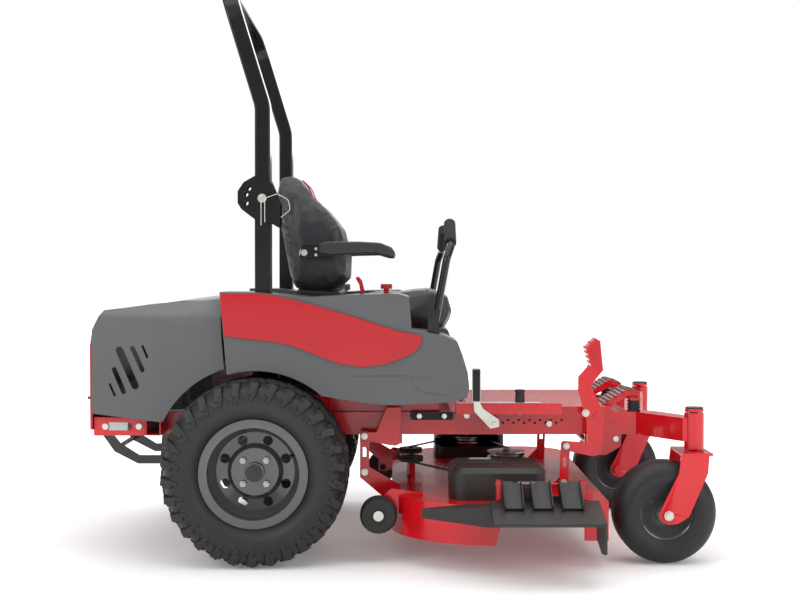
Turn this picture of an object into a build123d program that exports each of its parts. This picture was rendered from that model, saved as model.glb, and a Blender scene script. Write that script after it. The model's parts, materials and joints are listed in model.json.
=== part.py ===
from build123d import *
import math
import os

# Zero turn mower, in millimetres.
# Design frame: X forward from the rear axle, Y to the left of the driver, Z up from the ground.
# The right side of the machine is the -Y side. Every part is moved once, at export, so that the
# written origin is the middle of the machine's footprint on the ground.

# ---- Drive wheels ----
WHEEL_R = 300.0
WHEEL_WIDTH = 304.0
WHEEL_Y = 530.0
TYRE_WALL = 16.0
RIM_SEAT_R = 152.0
RIM_FLANGE_R = 174.0
RIM_WALL = 5.0
RIM_WIDTH = 232.0
RIM_DISC_INSET = 52.0
RIM_DISH_R = 128.0
RIM_HOLES = 8
RIM_HOLE_R = 16.0
RIM_HOLE_CIRCLE = 106.0
HUB_R = 72.0
HUB_CAP_R = 31.0
LUG_CIRCLE = 53.0
LUG_COUNT = 4
AXLE_R = 17.0

# ---- Casters ----
CASTER_R = 165.0
CASTER_WIDTH = 165.0
CASTER_TYRE_WALL = 14.0
CASTER_RIM_R = 86.0
CASTER_TRAIL = 100.0
CASTER_X = 1420.0
CASTER_Y = 525.0
CASTER_GAP = 5.0
KINGPIN_R = 13.0
CASTER_AXLE_R = 9.5
FORK_PLATE = 8.0
FORK_TOP_Z = 362.5
PIVOT_TUBE_R = 32.0
PIVOT_TUBE_LOW = 365.0
PIVOT_TUBE_HIGH = 498.0

# ---- Frame ----
RAIL_OUT_Y = 344.0
RAIL_W = 50.0
RAIL_LOW = 392.0
RAIL_HIGH = 468.0
RAIL_WALL = 4.0
RAIL_FRONT_X = 1261.0
RAIL_REAR_X = -320.0
CROSS_W = 50.0
ARM_TIP_X = 1392.0
BUMPER_X = -540.0
BUMPER_Y = 480.0
BUMPER_W = 40.0
BUMPER_LOW = 403.0
BUMPER_HIGH = 465.0
SHEET = 4.0
GUARD_Y = 176.0
GUARD_BAR = 12.0
HITCH_TIP_X = -660.0
HITCH_Z = 490.0
HITCH_HOLE_R = 10.0
FLOOR_REAR_X = 690.0
FLOOR_FRONT_X = 1180.0
FLOOR_TOP = 486.0
NOSE_BAR_Z = 506.0

# ---- Roll bar ----
ROPS_X = 18.0
ROPS_Y = 471.0
ROPS_DEPTH = 50.0
ROPS_WIDTH = 74.0
ROPS_WALL = 5.0
ROPS_FOOT_Z = 640.0
ROPS_PIVOT_Z = 1179.0
ROPS_PLATE = 6.0
ROPS_PIN_R = 8.0
ROPS_PIN_FIT = 0.3
ROPS_SIDE_FIT = 0.5
ROPS_TURN_GAP = 9.0
ROPS_LOCK_R = 54.8
ROPS_KNEE_Z = 1480.0
ROPS_TOP_Z = 1925.0
ROPS_LEAN = 17.0
ROPS_CORNER_R = 130.0

# ---- Body ----
POD_IN_Y = 330.0
POD_OUT_Y = 579.0
POD_SKIN = 5.0
ARCH_GAP = 22.0
PANEL_T = 9.0
HOOD_ARCH_GAP = 42.0
HOOD_FRONT_Y = 545.0
HOOD_REAR_Y = 502.0
HOOD_SKIN = 5.0
REAR_PANEL_T = 8.0
SEAT_DECK_Z = 640.0
SEAT_DECK_REAR_X = 225.0
SEAT_DECK_FRONT_X = 600.0

# ---- Engine and drive ----
ENGINE_X = -240.0
ENGINE_FLOOR = 476.0
CLUTCH_R = 75.0
CLUTCH_Z = 300.0
TRANSAXLE_IN_Y = 130.0
TRANSAXLE_OUT_Y = 325.0

# ---- Seat ----
SEAT_HALF = 262.0
SEAT_TILT_X = 590.0
SEAT_TILT_Z = 668.0
SEAT_FRAME_Z = 690.0
SEAT_GAP = 0.4
ARMREST_X = 140.0
ARMREST_Y = 308.0
ARMREST_Z = 1005.0
ARMREST_W = 62.0

# ---- Steering levers ----
LEVER_X = 573.0
LEVER_Y = 540.0
LEVER_PIVOT_Z = 610.0
LEVER_FOLD_Z = 752.0
LEVER_STRAP_TOP = 818.0
LEVER_STRAP_GAP = 0.6
LEVER_PLATE = 8.0
LEVER_TUBE_R = 12.5
GRIP_R = 19.5

# ---- Cutter deck ----
DECK_LOW = 90.0
DECK_TOP = 215.0
DECK_WALL = 5.0
DECK_REAR_X = 437.0
DECK_FRONT_X = 1125.0
DECK_RIGHT_Y = -735.0
DECK_LEFT_Y = 765.0
DECK_CORNER_R = 330.0
CHUTE_REAR_X = 778.0
CHUTE_FRONT_X = 1053.0
BLADE_R = 242.0
SPINDLE_R = 12.5
SPINDLE_PLACES = {"right": (728.0, -462.0), "centre": (850.0, 14.0), "left": (728.0, 490.0)}
PULLEY_R = 68.0
PULLEY_LOW = 268.0
PULLEY_T = 24.0
BELT_T = 9.0
COVER_SKIN = 4.0
COVER_TOP = 317.0
IDLER_R = 42.0
IDLER_PLACES = ((505.0, -105.0), (505.0, 135.0))
ROLLER_X = 396.0
ROLLER_Y = 560.0
ROLLER_Z = 158.0
ROLLER_R = 60.0
ROLLER_W = 56.0
ROLLER_PIN_R = 7.0
ROLLER_PLATE = 6.0
CHUTE_HINGE_Y = -742.0
CHUTE_HINGE_Z = 282.0
CHUTE_TIP_Y = -950.0
CHUTE_TIP_Z = 186.0
CHUTE_TAIL_X = 530.0

# ---- Deck lift ----
STRAP_IN_Y = 394.0
STRAP_T = 7.0
STRAP_GAP = 0.6
ARM_IN_Y = STRAP_IN_Y + STRAP_T + STRAP_GAP
ARM_T = 8.0
PEDAL_X = 1118.0
PEDAL_Z = 348.0
CRANK_X = 446.6
CRANK_Z = 379.0
LIFT_SHAFT_R = 11.0
LIFT_ARM = 100.0
LIFT_PIN_R = 7.0
CHANNEL_REAR_X = 650.0
CHANNEL_FRONT_X = 1005.0
CHANNEL_W = 56.0
CHANNEL_TOP = 502.0
HEIGHT_PIN_X = 867.0
LOCK_X = 780.0
LOCK_Z = 434.0
LOCK_GRIP_LOW = 506.0
LOCK_GRIP_HIGH = 620.0

# ---- Fits ----
RUN_FIT = 0.4
BOLT_R = 6.0

# ---- Console controls and outlines ----
THROTTLE_X = 338.0
THROTTLE_Y = -448.0
PTO_X = 420.0
PTO_Y = -420.0
PTO_R = 9.0
CAP_X = 230.0
CAP_Y = 440.0
POD_OUTLINE = [(-114, 876), (-101, 734), (-87, 560), (225, 540), (290, 528), (380, 515), (453, 512), (625,
        521),
               (680, 536), (688, 570), (682, 620), (665, 676), (649, 717), (608, 736), (545, 748), (503,
                       752),
               (494, 860), (461, 870), (339, 868), (176, 858), (62, 868), (5, 875)]
PANEL_OUTLINE = [(-112, 872), (5, 872), (62, 864), (176, 838), (339, 790), (461, 750), (529, 739), (536,
        725),
                 (526, 698), (494, 673), (421, 645), (339, 635), (258, 649), (176, 682), (111, 706), (46,
                         718),
                 (-36, 726), (-99, 735)]
HOOD_SLOTS = [((-482, 577), (-463, 535), 8), ((-469, 630), (-432, 543), 16), ((-453, 696), (-392, 559), 25),
              ((-408, 699), (-370, 615), 15), ((-373, 702), (-355, 660), 8)]
BACK_OUTLINE = [(42, 1283), (93, 1286), (121, 1269), (155, 1170), (212, 1130), (257, 1073), (286, 982),
                (289, 905),
                (262, 872), (155, 856), (93, 880), (84, 960), (59, 1084), (33, 1232)]

# ---- Lift linkage outlines ----
FRONT_STRAP = (1011, 236, 1018, 361)
REAR_STRAP = (347, 272, 346.6, 394)

PEDAL_OUTLINE = [(1107, 723), (1131, 711), (1141, 613), (1104, 568), (1104, 552), (1138, 482), (1145, 470),
                 (1142, 428), (1141, 381), (1134, 332), (1106, 326), (1018, 345), (1003, 352), (1003, 370),
                 (1018, 377), (1088, 372), (1086, 447), (1064, 524), (1058, 543), (1058, 591), (1092, 629),
                 (1075, 690)]

# The written origin sits under the middle of the outside box.
X_FRONT = CASTER_X - CASTER_TRAIL + CASTER_R
X_REAR = HITCH_TIP_X
ORIGIN_X = (X_FRONT + X_REAR) / 2
ORIGIN_Y = (DECK_LEFT_Y + CHUTE_TIP_Y) / 2


# ---- Small building blocks ----
def block(x0, x1, y0, y1, z0, z1):
    """A box between two opposite corners."""
    return Pos((x0 + x1) / 2, (y0 + y1) / 2, (z0 + z1) / 2) * Box(abs(x1 - x0), abs(y1 - y0), abs(z1 - z0))


def side_plate(sketch, y0, y1):
    """A sketch drawn in X and Z, made into a plate between two values of Y."""
    low, high = min(y0, y1), max(y0, y1)
    return Pos(0, high, 0) * extrude(Plane.XZ * sketch, high - low, dir=(0, -1, 0))


def floor_plate(sketch, z0, z1):
    """A sketch drawn in X and Y, made into a plate between two heights."""
    return Pos(0, 0, z0) * extrude(sketch, z1 - z0, dir=(0, 0, 1))


def cross_plate(sketch, x0, x1):
    """A sketch drawn in Y and Z, made into a plate between two values of X."""
    return Pos(x0, 0, 0) * extrude(Plane.YZ * sketch, x1 - x0, dir=(1, 0, 0))


def shape2d(points, radius=0.0):
    """A closed outline, with all its corners rounded alike."""
    outline = Polygon(*points, align=None)
    return fillet(outline.vertices(), radius) if radius else outline


def rod_y(x, z, radius, y0, y1):
    """A round bar across the machine."""
    return Pos(x, (y0 + y1) / 2, z) * Rot(90, 0, 0) * Cylinder(radius, abs(y1 - y0))


def rod_z(x, y, radius, z0, z1):
    """An upright round bar."""
    return Pos(x, y, (z0 + z1) / 2) * Cylinder(radius, abs(z1 - z0))


def rod_x(y, z, radius, x0, x1):
    """A round bar along the machine."""
    return Pos((x0 + x1) / 2, y, z) * Rot(0, 90, 0) * Cylinder(radius, abs(x1 - x0))


def hex_y(x, z, across, y0, y1):
    """A hexagon head on a cross bolt."""
    head = extrude(RegularPolygon(across / 2, 6, major_radius=False), abs(y1 - y0))
    return Pos(x, max(y0, y1), z) * Rot(90, 0, 0) * head


def hex_z(x, y, across, z0, z1):
    """A hexagon head on an upright bolt."""
    return Pos(x, y, z0) * extrude(RegularPolygon(across / 2, 6, major_radius=False), z1 - z0)


def tube_path(points, radii):
    """A path of straight runs joined by tangent arcs."""
    return FilletPolyline(*points, radius=radii)


def swept(path, section):
    """A section carried along a path from its start."""
    return sweep(Plane(path @ 0, z_dir=path % 0) * section, path=path)


def other_side(shape):
    """The same part on the left side."""
    return mirror(shape, about=Plane.XZ)


def both(shapes):
    """The right-hand pieces and their mirror images."""
    return list(shapes) + [other_side(s) for s in shapes]


# ---- Frame ----
def box_tube(x0, x1, y0, y1, z0, z1, along, wall=RAIL_WALL):
    """A square tube, open at both ends along X or Y."""
    grow = 1.0 if along == "X" else -wall
    side = 1.0 if along == "Y" else -wall
    core = block(x0 - grow, x1 + grow, y0 - side, y1 + side, z0 + wall, z1 - wall)
    return block(x0, x1, y0, y1, z0, z1) - core


def front_arm():
    """The splayed tube from a rail's end to the caster's pivot tube."""
    y_in, y_out = -(RAIL_OUT_Y - RAIL_W), -RAIL_OUT_Y
    outline = shape2d([
        (RAIL_FRONT_X, y_in), (RAIL_FRONT_X, y_out),
        (ARM_TIP_X - 12, -CASTER_Y - 16), (CASTER_X - 6, -CASTER_Y - 22),
        (CASTER_X + 20, -CASTER_Y + 12), (RAIL_FRONT_X + 62, y_in),
    ])
    hollow = offset(outline, -RAIL_WALL)
    arm = floor_plate(outline, RAIL_LOW, RAIL_HIGH)
    return arm - floor_plate(hollow, RAIL_LOW + RAIL_WALL, RAIL_HIGH - RAIL_WALL)


def caster_tube():
    """The upright tube that a caster's kingpin turns in."""
    tube = rod_z(CASTER_X, -CASTER_Y, PIVOT_TUBE_R, PIVOT_TUBE_LOW, PIVOT_TUBE_HIGH - 14)
    return tube


def crank_plate():
    """The plate on a rail that carries the rear lift crank."""
    reach = ARM_IN_Y - 2
    plate = block(CRANK_X - 26, CRANK_X + 26, -RAIL_OUT_Y, -RAIL_OUT_Y - 6, CRANK_Z - 18, RAIL_HIGH - 8)
    boss = rod_y(CRANK_X, CRANK_Z, 19, -RAIL_OUT_Y - 6, -reach)
    bore = rod_y(CRANK_X, CRANK_Z, LIFT_SHAFT_R + RUN_FIT, -RAIL_OUT_Y + 1, -reach - 1)
    return plate + boss - bore


def pedal_plate():
    """The plate on a rail that carries the pedal's cross shaft."""
    reach = ARM_IN_Y - 2
    plate = side_plate(shape2d([
        (PEDAL_X - 30, RAIL_LOW + 40), (PEDAL_X - 30, PEDAL_Z - 22), (PEDAL_X + 40, PEDAL_Z - 26),
        (PEDAL_X + 92, PEDAL_Z + 4), (PEDAL_X + 92, RAIL_LOW + 40),
    ], 10), -RAIL_OUT_Y, -RAIL_OUT_Y - 6)
    boss = rod_y(PEDAL_X, PEDAL_Z, 20, -RAIL_OUT_Y - 6, -reach)
    bore = rod_y(PEDAL_X, PEDAL_Z, LIFT_SHAFT_R + RUN_FIT, -RAIL_OUT_Y + 1, -reach - 1)
    return plate + boss - bore


def main_frame():
    """The welded frame: two rails, cross tubes, front arms, pivot tubes and hanger plates."""
    y_in = RAIL_OUT_Y - RAIL_W
    side = box_tube(RAIL_REAR_X, RAIL_FRONT_X, -RAIL_OUT_Y, -y_in, RAIL_LOW, RAIL_HIGH, "X")
    side += front_arm()
    side += caster_tube()
    side -= rod_z(CASTER_X, -CASTER_Y, KINGPIN_R + RUN_FIT, PIVOT_TUBE_LOW - 1, PIVOT_TUBE_HIGH)
    side += crank_plate()
    side += pedal_plate()
    frame = side + other_side(side)
    rear_z = (BUMPER_LOW, BUMPER_HIGH)
    frame += box_tube(RAIL_REAR_X - CROSS_W, RAIL_REAR_X, -BUMPER_Y, BUMPER_Y, *rear_z, "Y")
    for x in (250.0, 640.0, RAIL_FRONT_X - 62):
        frame += box_tube(x, x + CROSS_W, -y_in, y_in, RAIL_LOW + 6, RAIL_HIGH - 8, "Y")
    return frame


def rear_bumper():
    """The U-shaped bumper behind the rear cross tube."""
    x_front = RAIL_REAR_X - CROSS_W
    plan = Pos((BUMPER_X + x_front) / 2, 0) * Rectangle(x_front - BUMPER_X, 2 * BUMPER_Y)
    inner = Pos((BUMPER_X + BUMPER_W + x_front + 1) / 2, 0) * Rectangle(
        x_front - BUMPER_X - BUMPER_W + 1, 2 * (BUMPER_Y - BUMPER_W))
    bumper = floor_plate(plan - inner, BUMPER_LOW, BUMPER_HIGH)
    for y in (-BUMPER_Y + BUMPER_W / 2, BUMPER_Y - BUMPER_W / 2):
        bumper -= rod_y(x_front - 55, (BUMPER_LOW + BUMPER_HIGH) / 2, 11, y - BUMPER_W, y + BUMPER_W)
    return bumper


def rear_guard():
    """Two bent flat bars, their cross bar and the hitch tab."""
    low = 270.0
    path = [(-575, BUMPER_LOW + 20), (-575, 372), (-532, 312), (-450, low), (-352, low), (-322, BUMPER_LOW)]
    inner = [(-372, low + 29), (-446, low + 29), (-512, 340), (BUMPER_X - 8, 386)]
    outline = Polygon(*path, (-364, BUMPER_LOW), *inner, (BUMPER_X - 8, BUMPER_LOW + 20), align=None)
    bar = side_plate(outline, -GUARD_Y, -GUARD_Y + GUARD_BAR)
    bars = [bar, other_side(bar)]
    cross = rod_y(-524, 324, 9, -GUARD_Y + GUARD_BAR, GUARD_Y - GUARD_BAR)
    back = BUMPER_X - REAR_PANEL_T
    tab_plan = shape2d([(back, -70), (back, 70), (HITCH_TIP_X + 30, 34),
                        (HITCH_TIP_X, 20), (HITCH_TIP_X, -20), (HITCH_TIP_X + 30, -34)])
    tab = floor_plate(tab_plan, HITCH_Z - 8, HITCH_Z)
    tab -= rod_z(HITCH_TIP_X + 32, 0, HITCH_HOLE_R, HITCH_Z - 9, HITCH_Z + 1)
    stem = block(back - 8, back, -70, 70, BUMPER_LOW + 2, HITCH_Z - 8)
    return bars + [cross, tab + stem]


def floor_pan():
    """The pressed floor that lies on the rails in front of the seat."""
    edge = RAIL_OUT_Y - 1
    pan = block(FLOOR_REAR_X, FLOOR_FRONT_X, -edge, edge, RAIL_HIGH, FLOOR_TOP)
    under = block(FLOOR_REAR_X + SHEET, FLOOR_FRONT_X - SHEET, -edge + SHEET, edge - SHEET,
                  RAIL_HIGH - 1, FLOOR_TOP - SHEET)
    return fillet(pan.edges().filter_by(Axis.Y).group_by(Axis.Z)[-1], 6) - under


def footrest():
    """One raised footrest: a ramp, a crest and a nose, hollow below."""
    top = [(1149, FLOOR_TOP), (1241, 541), (1285, 529)]
    outline = shape2d([top[0], top[1], top[2], (1285, 512), (1241, 512), (1190, FLOOR_TOP)])
    rest = side_plate(outline, -290, -125)
    return rest


def isolator(x, y):
    """A ribbed rubber foot under a footrest's front."""
    foot = rod_z(x, y, 22, RAIL_HIGH, NOSE_BAR_Z)
    for z in (475, 485, 495):
        ring = rod_z(x, y, 23, z, z + 4) - rod_z(x, y, 18, z - 1, z + 5)
        foot -= ring
    return foot


def rubber_mounts():
    """The footrest feet and the bolted pads on the rails."""
    feet = [isolator(1258, -(RAIL_OUT_Y - RAIL_W / 2) + 2)]
    pad = block(500, 644, -RAIL_OUT_Y, -RAIL_OUT_Y - 20, 443, 470)
    pad = fillet(pad.edges().filter_by(Axis.Y), 8)
    return both(feet + [pad])


def nose_bar():
    """The cross bar that the footrest noses and the feet share."""
    return block(1242, 1280, -RAIL_OUT_Y + 4, RAIL_OUT_Y - 4, NOSE_BAR_Z, 512)


def height_channel():
    """The folded channel along the right rail, with the height pin's holes."""
    out = RAIL_OUT_Y + CHANNEL_W
    web = block(CHANNEL_REAR_X, CHANNEL_FRONT_X, -RAIL_OUT_Y, -RAIL_OUT_Y - SHEET, 444, CHANNEL_TOP)
    top = block(CHANNEL_REAR_X, CHANNEL_FRONT_X, -RAIL_OUT_Y, -out, CHANNEL_TOP - SHEET, CHANNEL_TOP)
    lip = block(CHANNEL_REAR_X, CHANNEL_FRONT_X, -out, -out + SHEET, 465, CHANNEL_TOP)
    channel = web + top + lip
    channel -= rod_z(HEIGHT_PIN_X, -RAIL_OUT_Y - CHANNEL_W / 2, BOLT_R + RUN_FIT, 440, CHANNEL_TOP + 1)
    for i in range(6):
        x = CHANNEL_REAR_X + 60 + 22 * i
        channel -= rod_z(x, -RAIL_OUT_Y - CHANNEL_W / 2, 5.5, CHANNEL_TOP - 10, CHANNEL_TOP + 1)
    return channel


def height_pin():
    """The knob and pin that stop the deck at a chosen height."""
    y = -RAIL_OUT_Y - CHANNEL_W / 2
    pin = rod_z(HEIGHT_PIN_X, y, BOLT_R, 462, CHANNEL_TOP + 4)
    knob = Pos(HEIGHT_PIN_X, y, CHANNEL_TOP + 24) * Cone(16, 12, 40)
    return [pin, knob]


def lock_lever():
    """The strap and handle that lock the deck up for transport."""
    y_in = RAIL_OUT_Y + CHANNEL_W + RUN_FIT
    tip_x = LOCK_X - 61
    strap = side_plate(shape2d([
        (LOCK_X - 14, LOCK_Z - 16), (LOCK_X + 16, LOCK_Z - 10), (LOCK_X + 14, LOCK_Z + 14), (LOCK_X - 38,
                LOCK_Z + 50),
        (tip_x + 9, LOCK_GRIP_LOW + 4), (tip_x - 9, LOCK_GRIP_LOW + 4), (tip_x - 7, LOCK_Z + 42),
    ], 5), -y_in, -y_in - 5)
    strap -= rod_y(LOCK_X, LOCK_Z, 7 + RUN_FIT, -y_in + 1, -y_in - 6)
    grip = block(tip_x - 14, tip_x + 14, -y_in + 7, -y_in - 12, LOCK_GRIP_LOW, LOCK_GRIP_HIGH)
    return strap + fillet(grip.edges().filter_by(Axis.Y), 7)


# ---- Drive wheels ----
def tyre_ring(radius, width, wall, seat_r, x, y, z, crown):
    """A hollow tyre with round shoulders, turned about its axle."""
    half = width / 2
    bead = RIM_WIDTH / 2
    outer = shape2d([(seat_r, -bead), (RIM_FLANGE_R + 1, -bead), (RIM_FLANGE_R + 20, -half + 6),
                     (seat_r + 70, -half),
                     (radius - 60, -half), (radius - 14, -half + 22),
                     (radius, -half + crown), (radius, half - crown), (radius - 14, half - 22),
                     (radius - 60, half), (seat_r + 70, half), (RIM_FLANGE_R + 20, half - 6),
                     (RIM_FLANGE_R + 1, bead), (seat_r, bead)])
    inner = offset(outer, -wall)
    return Pos(x, y, z) * revolve(outer - inner, Axis.Y)


def drive_rim(sign):
    """The pressed steel rim, with a dished disc near its outer side."""
    half = RIM_WIDTH / 2
    r, w = RIM_SEAT_R, RIM_WALL
    barrel = [(r, -half), (RIM_FLANGE_R, -half), (RIM_FLANGE_R, -half - w), (r - w, -half - w),
              (r - w, half + w), (RIM_FLANGE_R, half + w), (RIM_FLANGE_R, half), (r, half)]
    out = half - RIM_DISC_INSET
    disc = [(24, out - 14), (HUB_R, out - 14), (HUB_R + 14, out - 34), (RIM_DISH_R, out - 30),
            (r - w, out), (r - w, out + 8), (RIM_DISH_R - 2, out - 22), (HUB_R + 18, out - 26),
            (HUB_R + 4, out - 6), (24, out - 6)]
    ring = revolve(Polygon(*barrel, align=None), Axis.Y)
    ring += revolve(Polygon(*disc, align=None), Axis.Y)
    for i in range(RIM_HOLES):
        a = 2 * math.pi * (i + 0.5) / RIM_HOLES
        ring -= rod_y(RIM_HOLE_CIRCLE * math.cos(a), RIM_HOLE_CIRCLE * math.sin(a), RIM_HOLE_R, 0, half)
    for i in range(LUG_COUNT):
        a = 2 * math.pi * (i + 0.5) / LUG_COUNT
        ring -= rod_y(LUG_CIRCLE * math.cos(a), LUG_CIRCLE * math.sin(a), BOLT_R + RUN_FIT, 0, half)
    if sign < 0:
        ring = mirror(ring, about=Plane.XZ)
    return Pos(0, sign * WHEEL_Y, WHEEL_R) * ring


def wheel_hub(sign):
    """The axle, the hub flange, the lug studs with their nuts and the dust cap."""
    face = WHEEL_Y + RIM_WIDTH / 2 - RIM_DISC_INSET - 14
    flange = rod_y(0, WHEEL_R, HUB_R - 4, face - 12, face)
    boss = rod_y(0, WHEEL_R, 34, face - 46, face - 12)
    shaft = rod_y(0, WHEEL_R, AXLE_R, TRANSAXLE_IN_Y + 30, face - 46)
    hub = flange + boss + shaft
    cap = rod_y(0, WHEEL_R, 22, face, face + 8) + rod_y(0, WHEEL_R, HUB_CAP_R, face + 8.0, face + 30)
    pieces = [hub, fillet(cap.edges().group_by(Axis.Y)[-1], 6)]
    for i in range(LUG_COUNT):
        a = 2 * math.pi * (i + 0.5) / LUG_COUNT
        x, z = LUG_CIRCLE * math.cos(a), WHEEL_R + LUG_CIRCLE * math.sin(a)
        nut = hex_y(x, z, 19, face + 8, face + 22) + rod_y(x, z, BOLT_R, face, face + 28)
        pieces.append(nut)
    if sign < 0:
        pieces = [other_side(p) for p in pieces]
    return pieces


# ---- Casters ----
def caster_fork(sign):
    """The fork, its kingpin and cap, and the wheel's axle bolt."""
    y = -CASTER_Y
    inner = CASTER_WIDTH / 2 + CASTER_GAP
    axle_x = CASTER_X - CASTER_TRAIL
    cheek = shape2d([(1361, FORK_TOP_Z), (1451, FORK_TOP_Z), (1446, 299), (1386, 160), (1352, 138),
                     (1322, 134), (1296, 146), (1291, 170), (1354, 299)], 4)
    yoke = block(1361, 1462, y - inner - FORK_PLATE, y + inner + FORK_PLATE, FORK_TOP_Z - 8, FORK_TOP_Z)
    fork = yoke
    for a, b in ((y - inner - FORK_PLATE, y - inner), (y + inner, y + inner + FORK_PLATE)):
        fork += side_plate(cheek, a, b)
    fork -= rod_y(axle_x, CASTER_R, CASTER_AXLE_R, y - inner - FORK_PLATE - 1, y + inner + FORK_PLATE + 1)
    fork += rod_z(CASTER_X, y, KINGPIN_R, FORK_TOP_Z - 4, PIVOT_TUBE_HIGH - 10)
    cap = rod_z(CASTER_X, y, PIVOT_TUBE_R - 1, PIVOT_TUBE_HIGH - 10, PIVOT_TUBE_HIGH)
    end = inner + FORK_PLATE
    bolt = rod_y(axle_x, CASTER_R, CASTER_AXLE_R, y - end - 10, y + end + 10)
    bolt += hex_y(axle_x, CASTER_R, 28, y - end - 11, y - end)
    bolt += hex_y(axle_x, CASTER_R, 28, y + end, y + end + 11)
    pieces = [fork, fillet(cap.edges().group_by(Axis.Z)[-1], 5), bolt]
    return pieces if sign < 0 else [other_side(p) for p in pieces]


def caster_rim(sign):
    """The small wheel's rim and its bearing tube, in one piece."""
    half, r = CASTER_WIDTH / 2 - 12, CASTER_RIM_R
    barrel = [(r - 4, -half), (r, -half), (r, half), (r - 4, half)]
    disc = [(30, -12), (r - 4, -16), (r - 4, -8), (30, -4)]
    twin = [(30, 4), (r - 4, 8), (r - 4, 16), (30, 12)]
    tube = [(CASTER_AXLE_R + 0.08, -half - 11), (30, -half - 11), (30, half + 11), (CASTER_AXLE_R + 0.08,
            half + 11)]
    rim = revolve(Polygon(*barrel, align=None), Axis.Y)
    for profile in (disc, twin, tube):
        rim += revolve(Polygon(*profile, align=None), Axis.Y)
    return Pos(CASTER_X - CASTER_TRAIL, sign * CASTER_Y, CASTER_R) * rim


def caster_tyre(sign):
    """The smooth front tyre."""
    half = CASTER_WIDTH / 2
    outer = shape2d([(CASTER_RIM_R, -half + 12), (CASTER_RIM_R + 30, -half), (CASTER_R - 36, -half),
                     (CASTER_R - 8, -half + 24), (CASTER_R, -half + 48), (CASTER_R, half - 48),
                     (CASTER_R - 8, half - 24), (CASTER_R - 36, half), (CASTER_RIM_R + 30, half),
                     (CASTER_RIM_R, half - 12)])
    inner = offset(outer, -CASTER_TYRE_WALL)
    return Pos(CASTER_X - CASTER_TRAIL, sign * CASTER_Y, CASTER_R) * revolve(outer - inner, Axis.Y)


# ---- Roll bar ----
def rops_post():
    """One lower post: square tube, foot that reaches the rail, and the two hinge plates."""
    x0, x1 = ROPS_X - ROPS_DEPTH / 2, ROPS_X + ROPS_DEPTH / 2
    y0, y1 = -ROPS_Y - ROPS_WIDTH / 2, -ROPS_Y + ROPS_WIDTH / 2
    top = ROPS_PIVOT_Z - ROPS_DEPTH / 2 - ROPS_TURN_GAP
    w = ROPS_WALL
    post = block(x0, x1, y0, y1, ROPS_FOOT_Z, top)
    post -= block(x0 + w, x1 - w, y0 + w, y1 - w, ROPS_FOOT_Z + w, top + 1)
    foot = block(x0 - 10, x1 + 10, y0, -RAIL_OUT_Y + RAIL_W, ROPS_FOOT_Z - 14, ROPS_FOOT_Z)
    leg = block(x0 - 10, x1 + 10, -RAIL_OUT_Y + RAIL_W - 12, -RAIL_OUT_Y + RAIL_W, RAIL_HIGH,
                ROPS_FOOT_Z - 14)
    shoe = block(x0 - 30, x1 + 30, -RAIL_OUT_Y + 2, -RAIL_OUT_Y + RAIL_W, RAIL_HIGH, RAIL_HIGH + 8)
    web = side_plate(shape2d([(x0 + 20, RAIL_HIGH + 8), (x1 - 20, RAIL_HIGH + 8), (x1 - 20,
            ROPS_FOOT_Z - 14),
                              (x0 + 20, ROPS_FOOT_Z - 14)]), -RAIL_OUT_Y + 8, -RAIL_OUT_Y + RAIL_W - 12)
    body = post + foot + leg + shoe + web
    z = ROPS_PIVOT_Z
    cheek = shape2d([(-62, z - 15), (-62, z + 23), (-43, z + 52), (-5, z + 74), (33, z + 92), (44, z + 58),
                     (75, z - 18), (75, z - 98), (52, z - 84), (-8, z - 67), (-50, z - 35)], 5)
    for a, b in ((y0 - ROPS_PLATE, y0), (y1, y1 + ROPS_PLATE)):
        plate = side_plate(cheek, a, b)
        plate -= rod_y(ROPS_X, z, ROPS_PIN_R + ROPS_PIN_FIT, a - 1, b + 1)
        for angle in (144, 166, 196):
            hx = ROPS_X + ROPS_LOCK_R * math.cos(math.radians(angle))
            hz = z + ROPS_LOCK_R * math.sin(math.radians(angle))
            plate -= rod_y(hx, hz, ROPS_PIN_R, a - 1, b + 1)
        body += plate
    return body


def rops_pin():
    """The hinge pin, its hairpin and the wire that keeps it."""
    y_out = -ROPS_Y - ROPS_WIDTH / 2 - ROPS_PLATE
    y_in = -ROPS_Y + ROPS_WIDTH / 2 + ROPS_PLATE
    pin = rod_y(ROPS_X, ROPS_PIVOT_Z, ROPS_PIN_R, y_out - 4, y_in + 16)
    head = rod_y(ROPS_X, ROPS_PIVOT_Z, 14.5, y_out - 9, y_out - 1)
    ring_y = y_out - 11.2
    eye = Pos(ROPS_X + 3, ring_y, ROPS_PIVOT_Z) * Rot(90, 0, 0) * Torus(9, 2)
    wire_pts = [(ROPS_X + 11, ring_y, ROPS_PIVOT_Z), (ROPS_X + 50, ring_y - 4, ROPS_PIVOT_Z + 14),
                (ROPS_X + 86, ring_y - 6, ROPS_PIVOT_Z - 6), (ROPS_X + 92, ring_y - 3, ROPS_PIVOT_Z - 38),
                (ROPS_X + 62, ring_y + 2, ROPS_PIVOT_Z - 62)]
    wire = swept(tube_path(wire_pts, 14), Circle(1.2))
    clip_pts = [(ROPS_X - 3, ring_y, ROPS_PIVOT_Z - 88), (ROPS_X - 3, ring_y, ROPS_PIVOT_Z - 8),
                (ROPS_X + 9, ring_y, ROPS_PIVOT_Z - 8), (ROPS_X + 9, ring_y, ROPS_PIVOT_Z - 78)]
    clip = swept(tube_path(clip_pts, 5.5), Circle(1.6))
    collar = rod_y(ROPS_X, ROPS_PIVOT_Z, 12, y_in + 4, y_in + 10)
    return [pin + head + collar, eye + wire + clip]


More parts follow.
